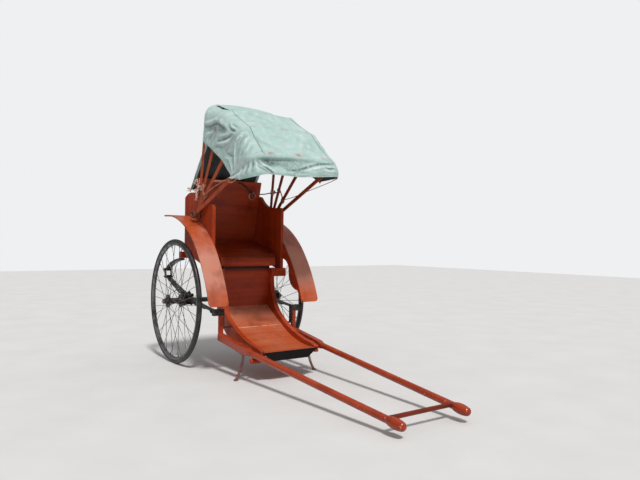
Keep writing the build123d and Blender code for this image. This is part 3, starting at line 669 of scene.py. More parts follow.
def on_side(angle, height, side=NEAR, outward=0.0):
    """a place on the hood's side, by its angle and its distance from the pivot"""
    leg, lean = (np.interp(angle, [row[0] for row in HOOD], [row[k] for row in HOOD]) for k in (1, 2))
    a = math.radians(angle)
    y = leg - height * math.tan(math.radians(lean)) + outward
    return (PIVOT.x + height * math.sin(a), side * y, PIVOT.z + height * math.cos(a))


# folds on the near side, as (angle, distance from the pivot) along each, then width and depth
SIDE_CREASES = [
    # the long fold from the rear edge, with its lip above and the hollow under it
    (((8.7, 0.591), (16.1, 0.600), (23.7, 0.633), (27.8, 0.639), (37.5, 0.653)), 0.0075, -0.0125),
    (((8.5, 0.609), (16.0, 0.619), (23.5, 0.652), (29.0, 0.660), (38.0, 0.674)), 0.0130, 0.0085),
    (((11.3, 0.566), (24.8, 0.596), (38.6, 0.636)), 0.0200, -0.0065),
    (((23.2, 0.655), (25.7, 0.685), (29.8, 0.725)), 0.0100, 0.0050),
    # short folds under the third bow's corner
    (((38.5, 0.688), (43.2, 0.692), (47.2, 0.716)), 0.0080, -0.0120),
    (((38.0, 0.706), (42.4, 0.710), (47.0, 0.734)), 0.0075, 0.0085),
    (((38.5, 0.700), (42.6, 0.728), (47.6, 0.758)), 0.0080, -0.0085),
    (((33.5, 0.545), (42.5, 0.619), (47.8, 0.691)), 0.0090, -0.0100),
    (((36.0, 0.530), (44.5, 0.600), (49.0, 0.668)), 0.0130, 0.0075),
    (((33.0, 0.575), (38.0, 0.612), (43.5, 0.655)), 0.0110, 0.0055),
    # upright ridges between the third bow and the front one
    (((52.1, 0.805), (51.4, 0.764), (52.7, 0.746), (52.9, 0.693), (58.8, 0.642), (64.6, 0.610)), 0.0075, 0.0115),
    (((49.8, 0.765), (50.4, 0.705), (54.5, 0.645), (60.5, 0.600)), 0.0120, -0.0070),
    (((54.7, 0.829), (55.7, 0.788), (57.4, 0.763), (60.5, 0.712), (63.5, 0.665)), 0.0070, 0.0085),
    (((53.7, 0.812), (54.2, 0.768), (55.6, 0.728), (60.2, 0.665)), 0.0070, -0.0075),
    (((57.4, 0.838), (58.9, 0.801), (62.4, 0.768), (64.9, 0.720)), 0.0080, 0.0065),
    (((56.7, 0.835), (57.7, 0.795), (60.4, 0.755), (63.0, 0.710)), 0.0065, -0.0060),
    (((60.5, 0.830), (62.5, 0.800), (65.2, 0.770)), 0.0080, -0.0050),
    # slacker waves near the hem
    (((17.0, 0.510), (21.5, 0.545), (25.0, 0.585)), 0.0120, -0.0060),
    (((12.0, 0.520), (16.0, 0.545), (21.0, 0.560)), 0.0110, 0.0050),
    (((31.0, 0.490), (35.0, 0.515), (42.0, 0.560)), 0.0110, -0.0050),
    (((52.0, 0.545), (57.0, 0.580), (62.0, 0.583), (65.5, 0.575)), 0.0100, 0.0060),
    (((51.5, 0.575), (56.5, 0.612), (61.5, 0.606)), 0.0090, -0.0055),
]
# the same for the far side, which the photograph doesn't show
FAR_CREASES = [
    (((10.0, 0.560), (18.0, 0.585), (30.0, 0.640)), 0.011, -0.0090),
    (((10.0, 0.580), (18.0, 0.606), (30.0, 0.662)), 0.012, 0.0070),
    (((33.0, 0.520), (41.0, 0.600), (46.5, 0.690)), 0.011, 0.0080),
    (((36.0, 0.510), (43.5, 0.585), (48.0, 0.665)), 0.010, -0.0075),
    (((51.0, 0.770), (56.0, 0.710), (63.0, 0.620)), 0.009, 0.0090),
    (((53.5, 0.775), (59.0, 0.715), (65.0, 0.650)), 0.009, -0.0080),
    (((56.0, 0.800), (61.5, 0.740), (65.5, 0.690)), 0.009, 0.0065),
]
# creases over the top, as (X from the axle, Y, Z) along each, then width and depth
TOP_CREASES = [
    (((0.36, -0.22, 1.70), (0.50, -0.10, 1.62), (0.62, 0.02, 1.55)), 0.020, -0.0035),
    (((0.62, 0.20, 1.56), (0.76, 0.12, 1.45), (0.90, 0.02, 1.34)), 0.020, 0.0040),
    (((0.70, -0.24, 1.48), (0.80, -0.20, 1.41), (0.90, -0.10, 1.34)), 0.016, -0.0040),
    (((0.26, 0.20, 1.72), (0.34, 0.05, 1.71), (0.42, -0.12, 1.68)), 0.022, 0.0030),
    # the pinch at the near end of the front edge
    (((0.900, -0.318, 1.285), (0.915, -0.292, 1.322), (0.925, -0.235, 1.336)), 0.0085, 0.0075),
    (((0.880, -0.300, 1.325), (0.893, -0.262, 1.350), (0.900, -0.215, 1.358)), 0.0090, -0.0060),
]


# waves of noise over the cover; then the rows or columns that a ridge is wide, and its height
COVER_RIPPLES = ((9, 3, 0.0045), (24, 7, 0.0022))
BOW_RIDGE = (0.055, 0.0014)
HEM_RIDGE = (3.5, 0.0012)
# how far the torn seam's lips curl, the upper one in and the lower one out
TEAR_CURL = (-0.005, 0.004)


def hood_grid():
    """the whole cover's points, and the depth of its folds"""
    sections = [bow_section(*row) for row in HOOD]
    rows = len(sections[0])
    columns = []
    shares = []
    for k, (a, b) in enumerate(zip(sections, sections[1:])):
        last = k == len(sections) - 2
        for j in range(PANEL_COLUMNS + (1 if last else 0)):
            t = j / PANEL_COLUMNS
            columns.append(a * (1 - t) + b * t)
            shares.append(k + t)
    grid = np.stack(columns, axis=1)
    share = np.array(shares)
    t = share % 1.0
    row = np.arange(rows)
    normal = normals_of(grid)
    top = smooth(LEG_ROWS, SEAM_ROWS[0] + 8, row) * (1 - smooth(SEAM_ROWS[1] - 8, rows - LEG_ROWS, row))
    sag = SAG_SIDE + (SAG_TOP - SAG_SIDE) * top
    move = -sag[:, None] * (4 * t * (1 - t))[None, :]
    move += BOW_RIDGE[1] * bell(np.minimum(t, 1 - t), BOW_RIDGE[0])[None, :]
    creases = [([on_side(*p) for p in line], w, d) for line, w, d in SIDE_CREASES]
    creases += [([on_side(*p, side=FAR) for p in line], w, d) for line, w, d in FAR_CREASES]
    creases += [(from_axle(line), w, d) for line, w, d in TOP_CREASES]
    free = 0.25 + 0.75 * smooth(0, 0.12, np.minimum(t, 1 - t))
    folds = crease_depth(grid, creases) * free[None, :]
    move += folds
    corner = bell(row - SEAM_ROWS[1] - CORNER_ROWS / 2, CORNER_ROWS * 1.1)
    move += corner[:, None] * np.interp(share, range(4), FAR_SLACK)[None, :]
    for i in range(rows):
        loose = 1.0 - 0.55 * top[i]
        for j in range(grid.shape[1]):
            move[i, j] += ripples(grid[i, j], COVER_RIPPLES) * loose * free[j]
    move += HEM_RIDGE[1] * bell(np.minimum(row, rows - 1 - row), HEM_RIDGE[0])[:, None]
    grid = grid + normal * move[..., None]
    # the seam's open end beside the first bow: its two lips part and curl
    reach = smooth(-0.02, 0.12, share) * (1 - smooth(TEAR_REACH * 0.55, TEAR_REACH, share))
    upper, lower = SEAM_ROWS[0], SEAM_ROWS[0] + 1
    along = unit(np.gradient(grid, axis=0))
    for i in range(rows):
        side = -1 if i <= upper else 1
        away = upper - i if side < 0 else i - lower
        weight = bell(away, 5.0) * reach
        grid[i] += along[i] * (side * TEAR_GAP / 2 * weight)[:, None]
        grid[i] += normal[i] * (TEAR_CURL[side > 0] * weight * bell(away, 2.5))[:, None]
    return grid, folds


RUST_STREAKS = (
    # share along the hood, from and to distance from the pivot, half width, strength
    (1.02, 0.550, 0.668, 0.007, 0.75),
    (2.02, 0.575, 0.700, 0.008, 0.85),
    (2.97, 0.640, 0.760, 0.010, 0.60),
    (2.80, 0.585, 0.700, 0.010, 0.45),
    (1.55, 0.600, 0.640, 0.010, 0.35),
)
RUST_NAILS = (
    # share along the hood, Y, half width, strength
    (2.93, -0.185, 0.019, 1.0), (2.93, 0.000, 0.022, 1.2), (2.95, 0.195, 0.018, 0.95),
    (2.0, 0.012, 0.017, 0.7), (2.0, 0.18, 0.015, 0.5), (1.0, -0.05, 0.014, 0.35), (2.0, -0.19, 0.014, 0.35),
)


def rust_marks(grid):
    """rust that shows through the cloth: along the bows on the near side, and round the nails on the crowns"""
    columns = grid.shape[1]
    rust = np.zeros(grid.shape[:2])
    near = grid[:, :, 1] < -0.2
    from_pivot = np.hypot(grid[:, :, 0] - PIVOT.x, grid[:, :, 2] - PIVOT.z)
    for at, low, high, half, strength in RUST_STREAKS:
        j = min(columns - 1, int(round(at * PANEL_COLUMNS)))
        distance = np.linalg.norm(grid - grid[:, j : j + 1, :], axis=2)
        inside = smooth(low - 0.015, low, from_pivot) * (1 - smooth(high, high + 0.015, from_pivot))
        rust = np.maximum(rust, strength * inside * near * bell(distance, half))
    for at, y, half, strength in RUST_NAILS:
        line = grid[:, min(columns - 1, int(round(at * PANEL_COLUMNS)))]
        i = int(np.argmin(np.abs(line[:, 1] - y) + (line[:, 2] < PIVOT.z + 0.2) * 9))
        distance = np.linalg.norm((grid - line[i]) * np.array([1.2, 0.75, 1.2]), axis=2)
        rust = np.maximum(rust, strength * bell(distance, half))
    return np.minimum(rust, 1.0)


def hood_cloth():
    """the three panels between the bows; gives the whole grid, and each panel with its seam, width and depth"""
    grid, folds = hood_grid()
    rust = rust_marks(grid)
    rows = grid.shape[0]
    row = np.arange(rows)
    edge = np.minimum(row, rows - 1 - row)
    # grime at the hems; painted shade in the folds' hollows
    dirt_and_shade = 0.35 * bell(edge, 3.0)[:, None] + FOLD_SHADE * np.clip(-folds / 0.010, 0, 1)
    # painted shade over the whole near side
    dirt_and_shade += NEAR_SIDE_SHADE * (1 - smooth(LEG_ROWS - 4, SEAM_ROWS[0], row))[:, None]
    # painted highlight along the folds' ridges
    pale = RIDGE_HIGHLIGHT * np.clip(folds / 0.008, 0, 1) ** 1.5
    uv = flat_lengths(grid)
    panels = []
    for k, name in enumerate(("12", "23", "34")):
        span = slice(k * PANEL_COLUMNS, (k + 1) * PANEL_COLUMNS + 1)
        part = grid[:, span]
        torn = k == 0
        sheet = cloth_piece("hood_cloth_" + name, part, uv[:, span], rust[:, span], dirt_and_shade[:, span], pale[:, span],
                            (SEAM_ROWS[0],) if torn else ())
        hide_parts("canvas_" + name)
        seams = Shape()
        for first in SEAM_ROWS:
            path = part[first] * 0.5 + part[first + 1] * 0.5
            if torn and first == SEAM_ROWS[0]:
                path = part[first + 1]
            seams.tube(path, SEAM_R, 6)
        seam = seams.piece("hood_seams_" + name, SEAM_THREAD, None)
        for made in (sheet, seam):
            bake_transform(made)
        width = float(uv[:, span][-1, :, 1].mean())
        depth = float(np.mean([uv[i, span][-1, 0] - uv[i, span][0, 0] for i in range(rows)]))
        panels.append((sheet, seam, width, depth))
    return grid, panels


def seam_thread():
    f = Finish("seam_thread")
    colour = f.mix(f.noise(300, 0.4, 0.6), (0.050, 0.070, 0.064), (0.160, 0.215, 0.195))
    f.relief(500, 0.0003)
    return f.finish(colour, 0.9)


SEAM_THREAD = seam_thread()
hood, panels = hood_cloth()

# Front drape: hangs from the front bow's edge of the cloth, all round from side to side
# hem height along the near side by X from the axle, and across the front by Y
HEM_NEAR = [(0.660, 1.207), (0.708, 1.197), (0.733, 1.199), (0.782, 1.186), (0.842, 1.190), (0.900, 1.194)]
HEM_FRONT = [(-0.315, 1.197), (-0.276, 1.206), (-0.237, 1.212), (-0.184, 1.213), (-0.131, 1.211),
             (-0.013, 1.209), (0.132, 1.221), (0.268, 1.233), (0.315, 1.236)]
HEM_FAR = [(0.660, 1.222), (0.760, 1.226), (0.860, 1.232), (0.920, 1.236)]
# across the front by Y: the share of the drop where the hollow ends and the bulge begins, the hollow, the bulge
DRAPE_FORM = [
    (-0.330, 0.50, 0.004, 0.004),
    (-0.250, 0.45, 0.018, 0.004),
    (-0.150, 0.62, 0.021, 0.006),
    (-0.083, 0.72, 0.018, 0.007),
    (-0.020, 0.62, 0.012, 0.010),
    (0.045, 0.46, 0.011, 0.012),
    (0.100, 0.30, 0.008, 0.013),
    (0.150, 0.18, 0.003, 0.014),
    (0.210, 0.10, 0.000, 0.014),
    (0.330, 0.08, 0.000, 0.009),
]
DRAPE_ROWS = 44
DRAPE_FORWARD = 0.029
DRAPE_OUT = 0.009
# the front bow's edge ends this far below the drape's top, so the cloth can't go in any higher
BOW_EDGE_DROP = (0.015, 0.026)
DRAPE_FLUTTER = 0.0024
DRAPE_RIPPLES = ((16, 5, 0.005), (45, 2, 0.0025))
# (X from the axle, Y, Z, half width, strength) of the rust, then place and size of a painted shade spot in the hollow
DRAPE_RUST = ((0.93, 0.245, 1.318, 0.014, 0.6), (0.79, -0.312, 1.270, 0.02, 0.4), (0.70, -0.312, 1.222, 0.014, 0.8))
HOLLOW_SHADE_AT = (0.945, -0.185, 1.278)
HOLLOW_SHADE_SIZE = (0.03, 0.055, 0.017)
DRAPE_CREASES = [
    # (X from the axle, Y, Z) along each, then width and depth
    (((0.950, -0.100, 1.238), (0.955, -0.020, 1.250), (0.955, 0.050, 1.271), (0.950, 0.140, 1.301),
      (0.950, 0.205, 1.309), (0.945, 0.262, 1.311)), 0.0070, -0.0110),
    (((0.955, 0.020, 1.245), (0.955, 0.090, 1.268), (0.955, 0.160, 1.285), (0.955, 0.250, 1.292)), 0.0100, 0.0050),
    (((0.958, 0.165, 1.281), (0.958, 0.206, 1.277), (0.958, 0.240, 1.283)), 0.0045, -0.0070),
    (((0.958, 0.150, 1.262), (0.958, 0.200, 1.258), (0.958, 0.255, 1.264)), 0.0075, 0.0045),
    (((0.945, -0.235, 1.292), (0.950, -0.205, 1.280), (0.950, -0.178, 1.277)), 0.0130, -0.0080),
    (((0.945, -0.296, 1.289), (0.952, -0.252, 1.257), (0.960, -0.194, 1.216)), 0.0052, -0.0090),
    (((0.945, -0.282, 1.296), (0.952, -0.238, 1.263), (0.960, -0.182, 1.222)), 0.0065, 0.0065),
    (((0.940, -0.305, 1.270), (0.950, -0.270, 1.249), (0.958, -0.232, 1.226)), 0.0050, -0.0070),
    (((0.942, -0.300, 1.280), (0.951, -0.262, 1.256), (0.959, -0.216, 1.224)), 0.0050, 0.0050),
    (((0.925, -0.312, 1.300), (0.935, -0.308, 1.262), (0.945, -0.300, 1.222)), 0.0060, 0.0060),
    (((0.905, -0.316, 1.298), (0.912, -0.318, 1.258), (0.915, -0.318, 1.215)), 0.0055, -0.0065),
    (((0.880, -0.316, 1.292), (0.884, -0.318, 1.252), (0.882, -0.318, 1.212)), 0.0060, 0.0065),
    (((0.858, -0.316, 1.280), (0.858, -0.318, 1.245), (0.854, -0.318, 1.208)), 0.0055, -0.0060),
    (((0.834, -0.316, 1.268), (0.832, -0.318, 1.236), (0.828, -0.318, 1.204)), 0.0060, 0.0060),
    (((0.808, -0.316, 1.258), (0.803, -0.318, 1.230), (0.798, -0.318, 1.200)), 0.0055, -0.0055),
    (((0.780, -0.316, 1.246), (0.772, -0.318, 1.222), (0.764, -0.318, 1.200)), 0.0060, 0.0050),
    (((0.752, -0.314, 1.236), (0.742, -0.316, 1.216), (0.734, -0.316, 1.202)), 0.0060, -0.0045),
    (((0.958, -0.060, 1.222), (0.958, -0.030, 1.232), (0.958, 0.030, 1.235)), 0.0090, -0.0040),
    (((0.860, 0.312, 1.285), (0.865, 0.316, 1.262), (0.868, 0.318, 1.240)), 0.0080, 0.0060),
    (((0.890, 0.312, 1.292), (0.895, 0.316, 1.264), (0.898, 0.318, 1.240)), 0.0070, -0.0055),
]


def front_drape(edge):
    """edge is the cloth's front row of points, from the near hem over the crown to the far hem"""
    count = len(edge)
    index = np.arange(count)
    on_front = smooth(LEG_ROWS, SEAM_ROWS[0], index) * (1 - smooth(SEAM_ROWS[1] + 1, count - LEG_ROWS, index))
    side = np.sign(edge[:, 1])
    foot = edge.copy()
    foot[:, 0] += DRAPE_FORWARD * on_front
    foot[:, 1] += side * DRAPE_OUT * (1 - 0.3 * on_front)
    x, y = foot[:, 0] - AXLE_X, foot[:, 1]
    near_hem = np.interp(x, *zip(*HEM_NEAR))
    far_hem = np.interp(x, *zip(*HEM_FAR))
    front_hem = np.interp(y, *zip(*HEM_FRONT))
    side_hem = np.where(y < 0, near_hem, far_hem)
    foot[:, 2] = side_hem * (1 - on_front) + front_hem * on_front
    foot[:, 2] = np.minimum(foot[:, 2], edge[:, 2] - 0.012)
    v = np.linspace(0, 1, DRAPE_ROWS)
    grid = edge[None] * (1 - v[:, None, None]) + foot[None] * v[:, None, None]
    # outward ways: forward at the front, sideways along the returns
    way = unit(np.stack([on_front, side * (1 - on_front) * 0.9, np.zeros(count)], axis=1))
    ledge, hollow, bulge = (np.interp(y, [row[0] for row in DRAPE_FORM], [row[k] for row in DRAPE_FORM])
                            for k in (1, 2, 3))
    share = v[:, None]
    hollow_form = smooth(0.05, 0.28, share) * (1 - smooth(ledge - 0.12, ledge + 0.16, share))
    bulge_form = np.sin(math.pi * np.clip((share - ledge) / (1.04 - ledge), 0, 1)) ** 0.9
    out = on_front * (bulge * bulge_form - hollow * hollow_form)
    out += (1 - on_front) * (0.004 * bulge_form - 0.005 * hollow_form)
    along = np.concatenate([[0], np.cumsum(np.linalg.norm(np.diff(edge, axis=0), axis=1))])
    for i in range(DRAPE_ROWS):
        for j in range(count):
            flutter = math.sin(along[j] * 46 + 1.3 * math.sin(along[j] * 13)) * DRAPE_FLUTTER
            out[i, j] += v[i] * (flutter + ripples((along[j], v[i] * 0.15, 0.4), DRAPE_RIPPLES))
    creases = [(from_axle(line), w, d) for line, w, d in DRAPE_CREASES]
    folds = crease_depth(grid, creases) * smooth(0, 0.15, v)[:, None]
    out += folds
    room = 0.0025 + 0.05 * smooth(*BOW_EDGE_DROP, edge[None, :, 2] - grid[:, :, 2])
    out = np.maximum(out, -np.where(on_front > 0.5, room, 0.006))
    grid = grid + way[None] * out[..., None]
    rust = np.zeros(grid.shape[:2])
    for *at, half, strength in DRAPE_RUST:
        distance = np.linalg.norm(grid - np.array(from_axle([at])), axis=2)
        rust = np.maximum(rust, strength * bell(distance, half))
    # grime at the hem; painted shade in the creases' hollows
    dirt_and_shade = 0.30 * bell((1 - v) * DRAPE_ROWS, 3.0)[:, None] + DRAPE_FOLD_SHADE * np.clip(-folds / 0.008, 0, 1)
    # painted shade in the hollow under the front bow's edge, on the near half of the front
    dirt_and_shade += 0.42 * hollow_form * (on_front * (1 - smooth(-0.02, 0.12, y)))[None, :]
    # painted shade: a dark spot in the drape's near hollow
    stain = (grid - np.array(from_axle([HOLLOW_SHADE_AT]))) / np.array(HOLLOW_SHADE_SIZE)
    dirt_and_shade = np.minimum(dirt_and_shade + 0.75 * np.exp(-np.sum(stain**2, axis=2)), 1.0)
    uv = flat_lengths(grid)
    # painted highlight along the creases' ridges
    pale = RIDGE_HIGHLIGHT * np.clip(folds / 0.006, 0, 1) ** 1.5
    sheet = cloth_piece("front_drape", grid, uv, rust, dirt_and_shade, pale)
    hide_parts("front_valance")
    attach(sheet, "hood_4")
    hem = Shape()
    hem.tube(grid[-1], 0.0022, 6)
    roll = hem.piece("front_drape_hem", CANVAS, "hood_4")


front_drape(hood[:, -1])

# Rear curtain: down the back of the first bow, then to the rear of the body
CURTAIN_HALF = 0.250
CURTAIN_BACK = 0.0185
CURTAIN_FOOT = (-0.072, 1.188)
CURTAIN_SHOULDER = 0.075
CURTAIN_FOLD = 0.010
CURTAIN_SLACK = 0.012
CURTAIN_ROWS = 46
CURTAIN_COLUMNS = 64


def rear_curtain():
    angle, _, _, crown, bend, _, _ = HOOD[0]
    s, c = math.sin(math.radians(angle)), math.cos(math.radians(angle))
    grid = np.zeros((CURTAIN_ROWS, CURTAIN_COLUMNS, 3))
    turn_at = np.array([PIVOT.x + bend * s - CURTAIN_BACK * c, PIVOT.z + bend * c + CURTAIN_BACK * s])
    foot = np.array([CURTAIN_FOOT[0] + AXLE_X, CURTAIN_FOOT[1]])
    for j in range(CURTAIN_COLUMNS):
        u = -1 + 2 * j / (CURTAIN_COLUMNS - 1)
        y = u * CURTAIN_HALF
        drop = crown - 0.004 - BOW_CROWN_R * (1 - math.cos(math.asin(y / BOW_CROWN_R)))
        drop -= CURTAIN_SHOULDER * smooth(0.80, 1.0, abs(u)) ** 1.5
        top = np.array([PIVOT.x + drop * s - CURTAIN_BACK * c, PIVOT.z + drop * c + CURTAIN_BACK * s])
        lengths = (np.linalg.norm(top - turn_at), np.linalg.norm(turn_at - foot))
        for i in range(CURTAIN_ROWS):
            v = i / (CURTAIN_ROWS - 1)
            d = v * sum(lengths)
            first = min(1.0, d / lengths[0])
            second = max(0.0, (d - lengths[0]) / lengths[1])
            p = top + (turn_at - top) * first if second == 0 else turn_at + (foot - turn_at) * second
            folds = math.sin(u * 19 + 1.5 * math.sin(u * 5)) * CURTAIN_FOLD * smooth(0.35, 1.0, v)
            slack = CURTAIN_SLACK * math.sin(math.pi * v) ** 2 + wave_noise((y, v * 0.6, 0.2), 12, 4) * 0.004 * v
            narrow = 1 - 0.03 * v
            grid[i, j] = (p[0] - folds * 0.9 - slack, y * narrow, p[1] + folds * 0.2)
    uv = flat_lengths(grid)
    rows = np.arange(CURTAIN_ROWS)
    dirt_and_shade = 0.3 * bell(CURTAIN_ROWS - 1 - rows, 2.5)[:, None] * np.ones(CURTAIN_COLUMNS)[None]
    blank = np.zeros(grid.shape[:2])
    sheet = cloth_piece("rear_curtain_cloth", grid, uv, blank, dirt_and_shade, blank, side_hem=2)
    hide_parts("rear_curtain")
    hem = Shape()
    hem.tube(grid[-1], 0.003, 6)
    for j in (0, -1):
        hem.tube(grid[:, j], 0.0032, 6)
    roll = hem.piece("rear_curtain_hem", CANVAS, None)
    for made in (sheet, roll):
        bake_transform(made)


rear_curtain()

# Lashings: rope round the bows' legs, from leg to leg and out to the drape's corners
ROPE_R = 0.0040
WRAP_HEIGHT = 0.185
# the second bow's turns sit higher, so that they clear the others' when the hood is folded
WRAP_LIFT = (0.0, 0.034, 0.0)
WRAP_TURNS = (4, 2, 3)
WRAP_R = 0.0034
WRAP_PITCH = 0.0078
WRAP_STEPS = 14
LEG_HALF = (0.013, 0.003)
# from a bow's leg out to the ropes that start there
SPAN_OUT = 0.008
# (X, Y outward, Z) from the knot's middle
KNOT = (
    (-0.012, 0, -0.010), (-0.004, 0.006, 0.008), (0.010, 0.004, 0.006), (0.004, 0.008, -0.010), (-0.010, 0.003, 0.010)
)
# (X from the axle, Y, Z) along the ropes from the third bow forward to the drape's lower corners
STAY_NEAR = ((0.390, -0.309, 1.158), (0.469, -0.312, 1.176), (0.560, -0.316, 1.190), (0.655, -0.318, 1.206))
STAY_FAR = ((0.420, 0.309, 1.142), (0.560, 0.312, 1.168), (0.773, 0.318, 1.206), (0.880, 0.322, 1.229))
HOOK = ((0.610, -0.316, 1.196), (0.655, -0.319, 1.206), (0.662, -0.320, 1.196), (0.652, -0.321, 1.186),
        (0.668, -0.321, 1.177), (0.700, -0.321, 1.178), (0.745, -0.320, 1.190), (0.762, -0.319, 1.200))
HOOK_STICK = ((0.452, -0.320, 1.203), (0.500, -0.321, 1.198), (0.560, -0.321, 1.194), (0.612, -0.319, 1.194))


def on_leg(bow, height, side, outward=0.0):
    """a place on a bow's leg, by its distance from the pivot"""
    return Vector(on_side(HOOD[bow][0], height, side, outward))


def wrap_path(bow, side):
    """a rope's turns round a bow's flat leg"""
    _, along = upright(HOOD[bow][0])
    across = Vector((0, side, 0))
    turns = WRAP_TURNS[bow]
    path = []
    for k in range(WRAP_STEPS * turns + 1):
        a = 2 * math.pi * k / WRAP_STEPS
        centre = on_leg(bow, WRAP_HEIGHT + WRAP_LIFT[bow] + WRAP_PITCH * (k / WRAP_STEPS - turns / 2), side)
        x, y = math.cos(a), math.sin(a)
        wide = LEG_HALF[0] + WRAP_R
        # the turns bed a little into the leg's inner face
        thin = LEG_HALF[1] + WRAP_R - (0.0012 if y < 0 else 0.0)
        squarer = 1 / (abs(x) ** 4 + abs(y) ** 4) ** 0.25
        path.append(centre + along * (x * wide * squarer) + across * (y * thin * squarer))
    return path


def curve_through(points, steps=8):
    """a smooth line through points"""
    points = [Vector(p) for p in points]
    ends = [points[0] * 2 - points[1], *points, points[-1] * 2 - points[-2]]
    path = []
    for a, b, c, d in zip(ends, ends[1:], ends[2:], ends[3:]):
        for k in range(steps):
            t = k / steps
            path.append(
                0.5 * ((2 * b) + (c - a) * t + (2 * a - 5 * b + 4 * c - d) * t * t + (3 * b - a - 3 * c + d) * t ** 3)
            )
    path.append(points[-1])
    return path


def tuft(shape, at, way, count, length, thick=0.0012):
    """loose fibres at a rope's end"""
    at, way = Vector(at), Vector(way).normalized()
    for _ in range(count):
        bent = Vector((RNG.uniform(-1, 1), RNG.uniform(-1, 1), RNG.uniform(-1, 1)))
        tip = at + (way + bent * 0.45).normalized() * length * RNG.uniform(0.6, 1.0)
        middle = (at + tip) / 2 + bent * length * 0.12
        shape.tube(curve_through([at, middle, tip], 4), thick, 5)


def rope(name, finish, points, radius=ROPE_R, steps=8, frayed=None):
    """a rope through points from one body to another; frayed is the way, count, length and size of an end tuft"""
    shape = Shape()
    shape.tube(curve_through(points, steps), radius)
    if frayed:
        tuft(shape, points[-1], *frayed)
    made = shape.piece(name, finish)
    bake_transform(made)


def lashings(side, word):
    """a side's ropes: turns round the legs, spans between them, the stay, the hook and the curtain's tie"""
    near = side == NEAR
    for bow in range(3):
        wraps = Shape()
        wraps.tube(wrap_path(bow, side), WRAP_R)
        if bow == 0:
            knot = on_leg(0, WRAP_HEIGHT + 0.004, side, 0.012)
            wraps.tube(curve_through([knot + Vector((x, side * y, z)) for x, y, z in KNOT], 6), ROPE_R * 1.1)
            if near:
                tuft(wraps, knot + Vector((-0.014, -0.002, 0.012)), (-0.35, -0.2, 0.9), 16, 0.055, 0.0017)
                tuft(wraps, knot + Vector((-0.006, -0.004, -0.016)), (-0.8, -0.2, -0.5), 14, 0.050, 0.0017)
        wraps.piece(f"lashing_{word}_{bow + 1}", PALE_ROPE if bow == 0 else ROPE, f"hood_{bow + 1}")
    for bow in range(2):
        start = on_leg(bow, WRAP_HEIGHT + WRAP_LIFT[bow] + 0.006, side, SPAN_OUT)
        end = on_leg(bow + 1, WRAP_HEIGHT + WRAP_LIFT[bow + 1] - 0.004, side, SPAN_OUT)
        middle = (start + end) / 2 + Vector((0, side * 0.003, -0.008))
        rope(f"lashing_span_{word}_{bow + 1}", ROPE, [start, middle, end], steps=6)
    route = [on_leg(2, WRAP_HEIGHT + 0.004, side, SPAN_OUT), *from_axle(STAY_NEAR if near else STAY_FAR)]
    rope("hood_stay_" + word, ROPE, route, ROPE_R * (0.9 if near else 0.6))
    if near:
        hook = Shape()
        hook.tube(curve_through(from_axle(HOOK), 6), ROPE_R)
        hook.tube(curve_through(from_axle(HOOK_STICK), 6), ROPE_R * 1.3)
        tuft(hook, from_axle(HOOK_STICK)[0], (-1, 0, 0.1), 7, 0.022)
        hook.piece("drape_hook_rope", ROPE, "hood_4")
    # back to the curtain's lower corner
    start = on_leg(0, WRAP_HEIGHT + 0.002, side, SPAN_OUT)
    end = Vector((CURTAIN_FOOT[0] + AXLE_X + 0.004, side * (CURTAIN_HALF - 0.004), CURTAIN_FOOT[1] + 0.002))
    middle = (start + end) / 2 + Vector((0, side * 0.004, -0.010))
    rope("curtain_tie_" + word, PALE_ROPE if near else ROPE, [start, middle, end],
         frayed=((-1, -0.3, 0.05), 12, 0.040, 0.0016) if near else None)


TAIL_LENGTH = 0.062
TAIL_TWIST = 15
WINDING_Y = -0.3235
WINDING_R = 0.021


def loose_rope():
    """the knot's long end hanging down the near bows, and rope wound loosely round the near pivot"""
    tail = Shape()
    top = on_leg(0, WRAP_HEIGHT - 0.01, NEAR, 0.014)
    for strand in (0.0, math.pi):
        path = []
        for k in range(61):
            drop = k / 60
            a = strand + drop * TAIL_TWIST
            middle = top + Vector((0.004 + 0.008 * drop, -0.018 * min(1.0, 3 * drop), -TAIL_LENGTH * drop))
            path.append(middle + Vector((math.cos(a), math.sin(a), 0)) * 0.0034)
        tail.tube(path, 0.0036)
    tuft(tail, top + Vector((0.012, -0.018, -0.060)), (-0.1, -0.1, -1), 8, 0.024)
    tail.piece("lashing_tail_near", PALE_ROPE, "hood_1")
    winding = Shape()
    path = []
    for k in range(150):
        a = 2 * math.pi * k / 34
        wide = WINDING_R + 0.004 * math.sin(a * 0.37 + 1.0)
        middle = Vector((PIVOT.x - 0.006 + 0.030 * k / 149, WINDING_Y - 0.0035 * math.sin(a * 0.61), PIVOT.z + 0.004))
        path.append(middle + Vector((math.cos(a) * wide, math.sin(a * 0.5) * 0.002, math.sin(a) * wide * 0.85)))
    winding.tube(path, WRAP_R)
    tuft(winding, path[0], (-0.6, -0.2, -0.7), 6, 0.022)
    winding.piece("pivot_winding_near", DARK_ROPE, "chassis")


lashings(NEAR, "near")
lashings(FAR, "far")
loose_rope()

# Small iron: nails, nuts, nipples, the backrest's ring
SPRING_Y = 0.295
CLAMP_BOLT = (0.027, 0.025)
CLAMP_LEAN = 13.58
CLAMP_TOP = 0.0459
CLAMP_UNDER = 0.019
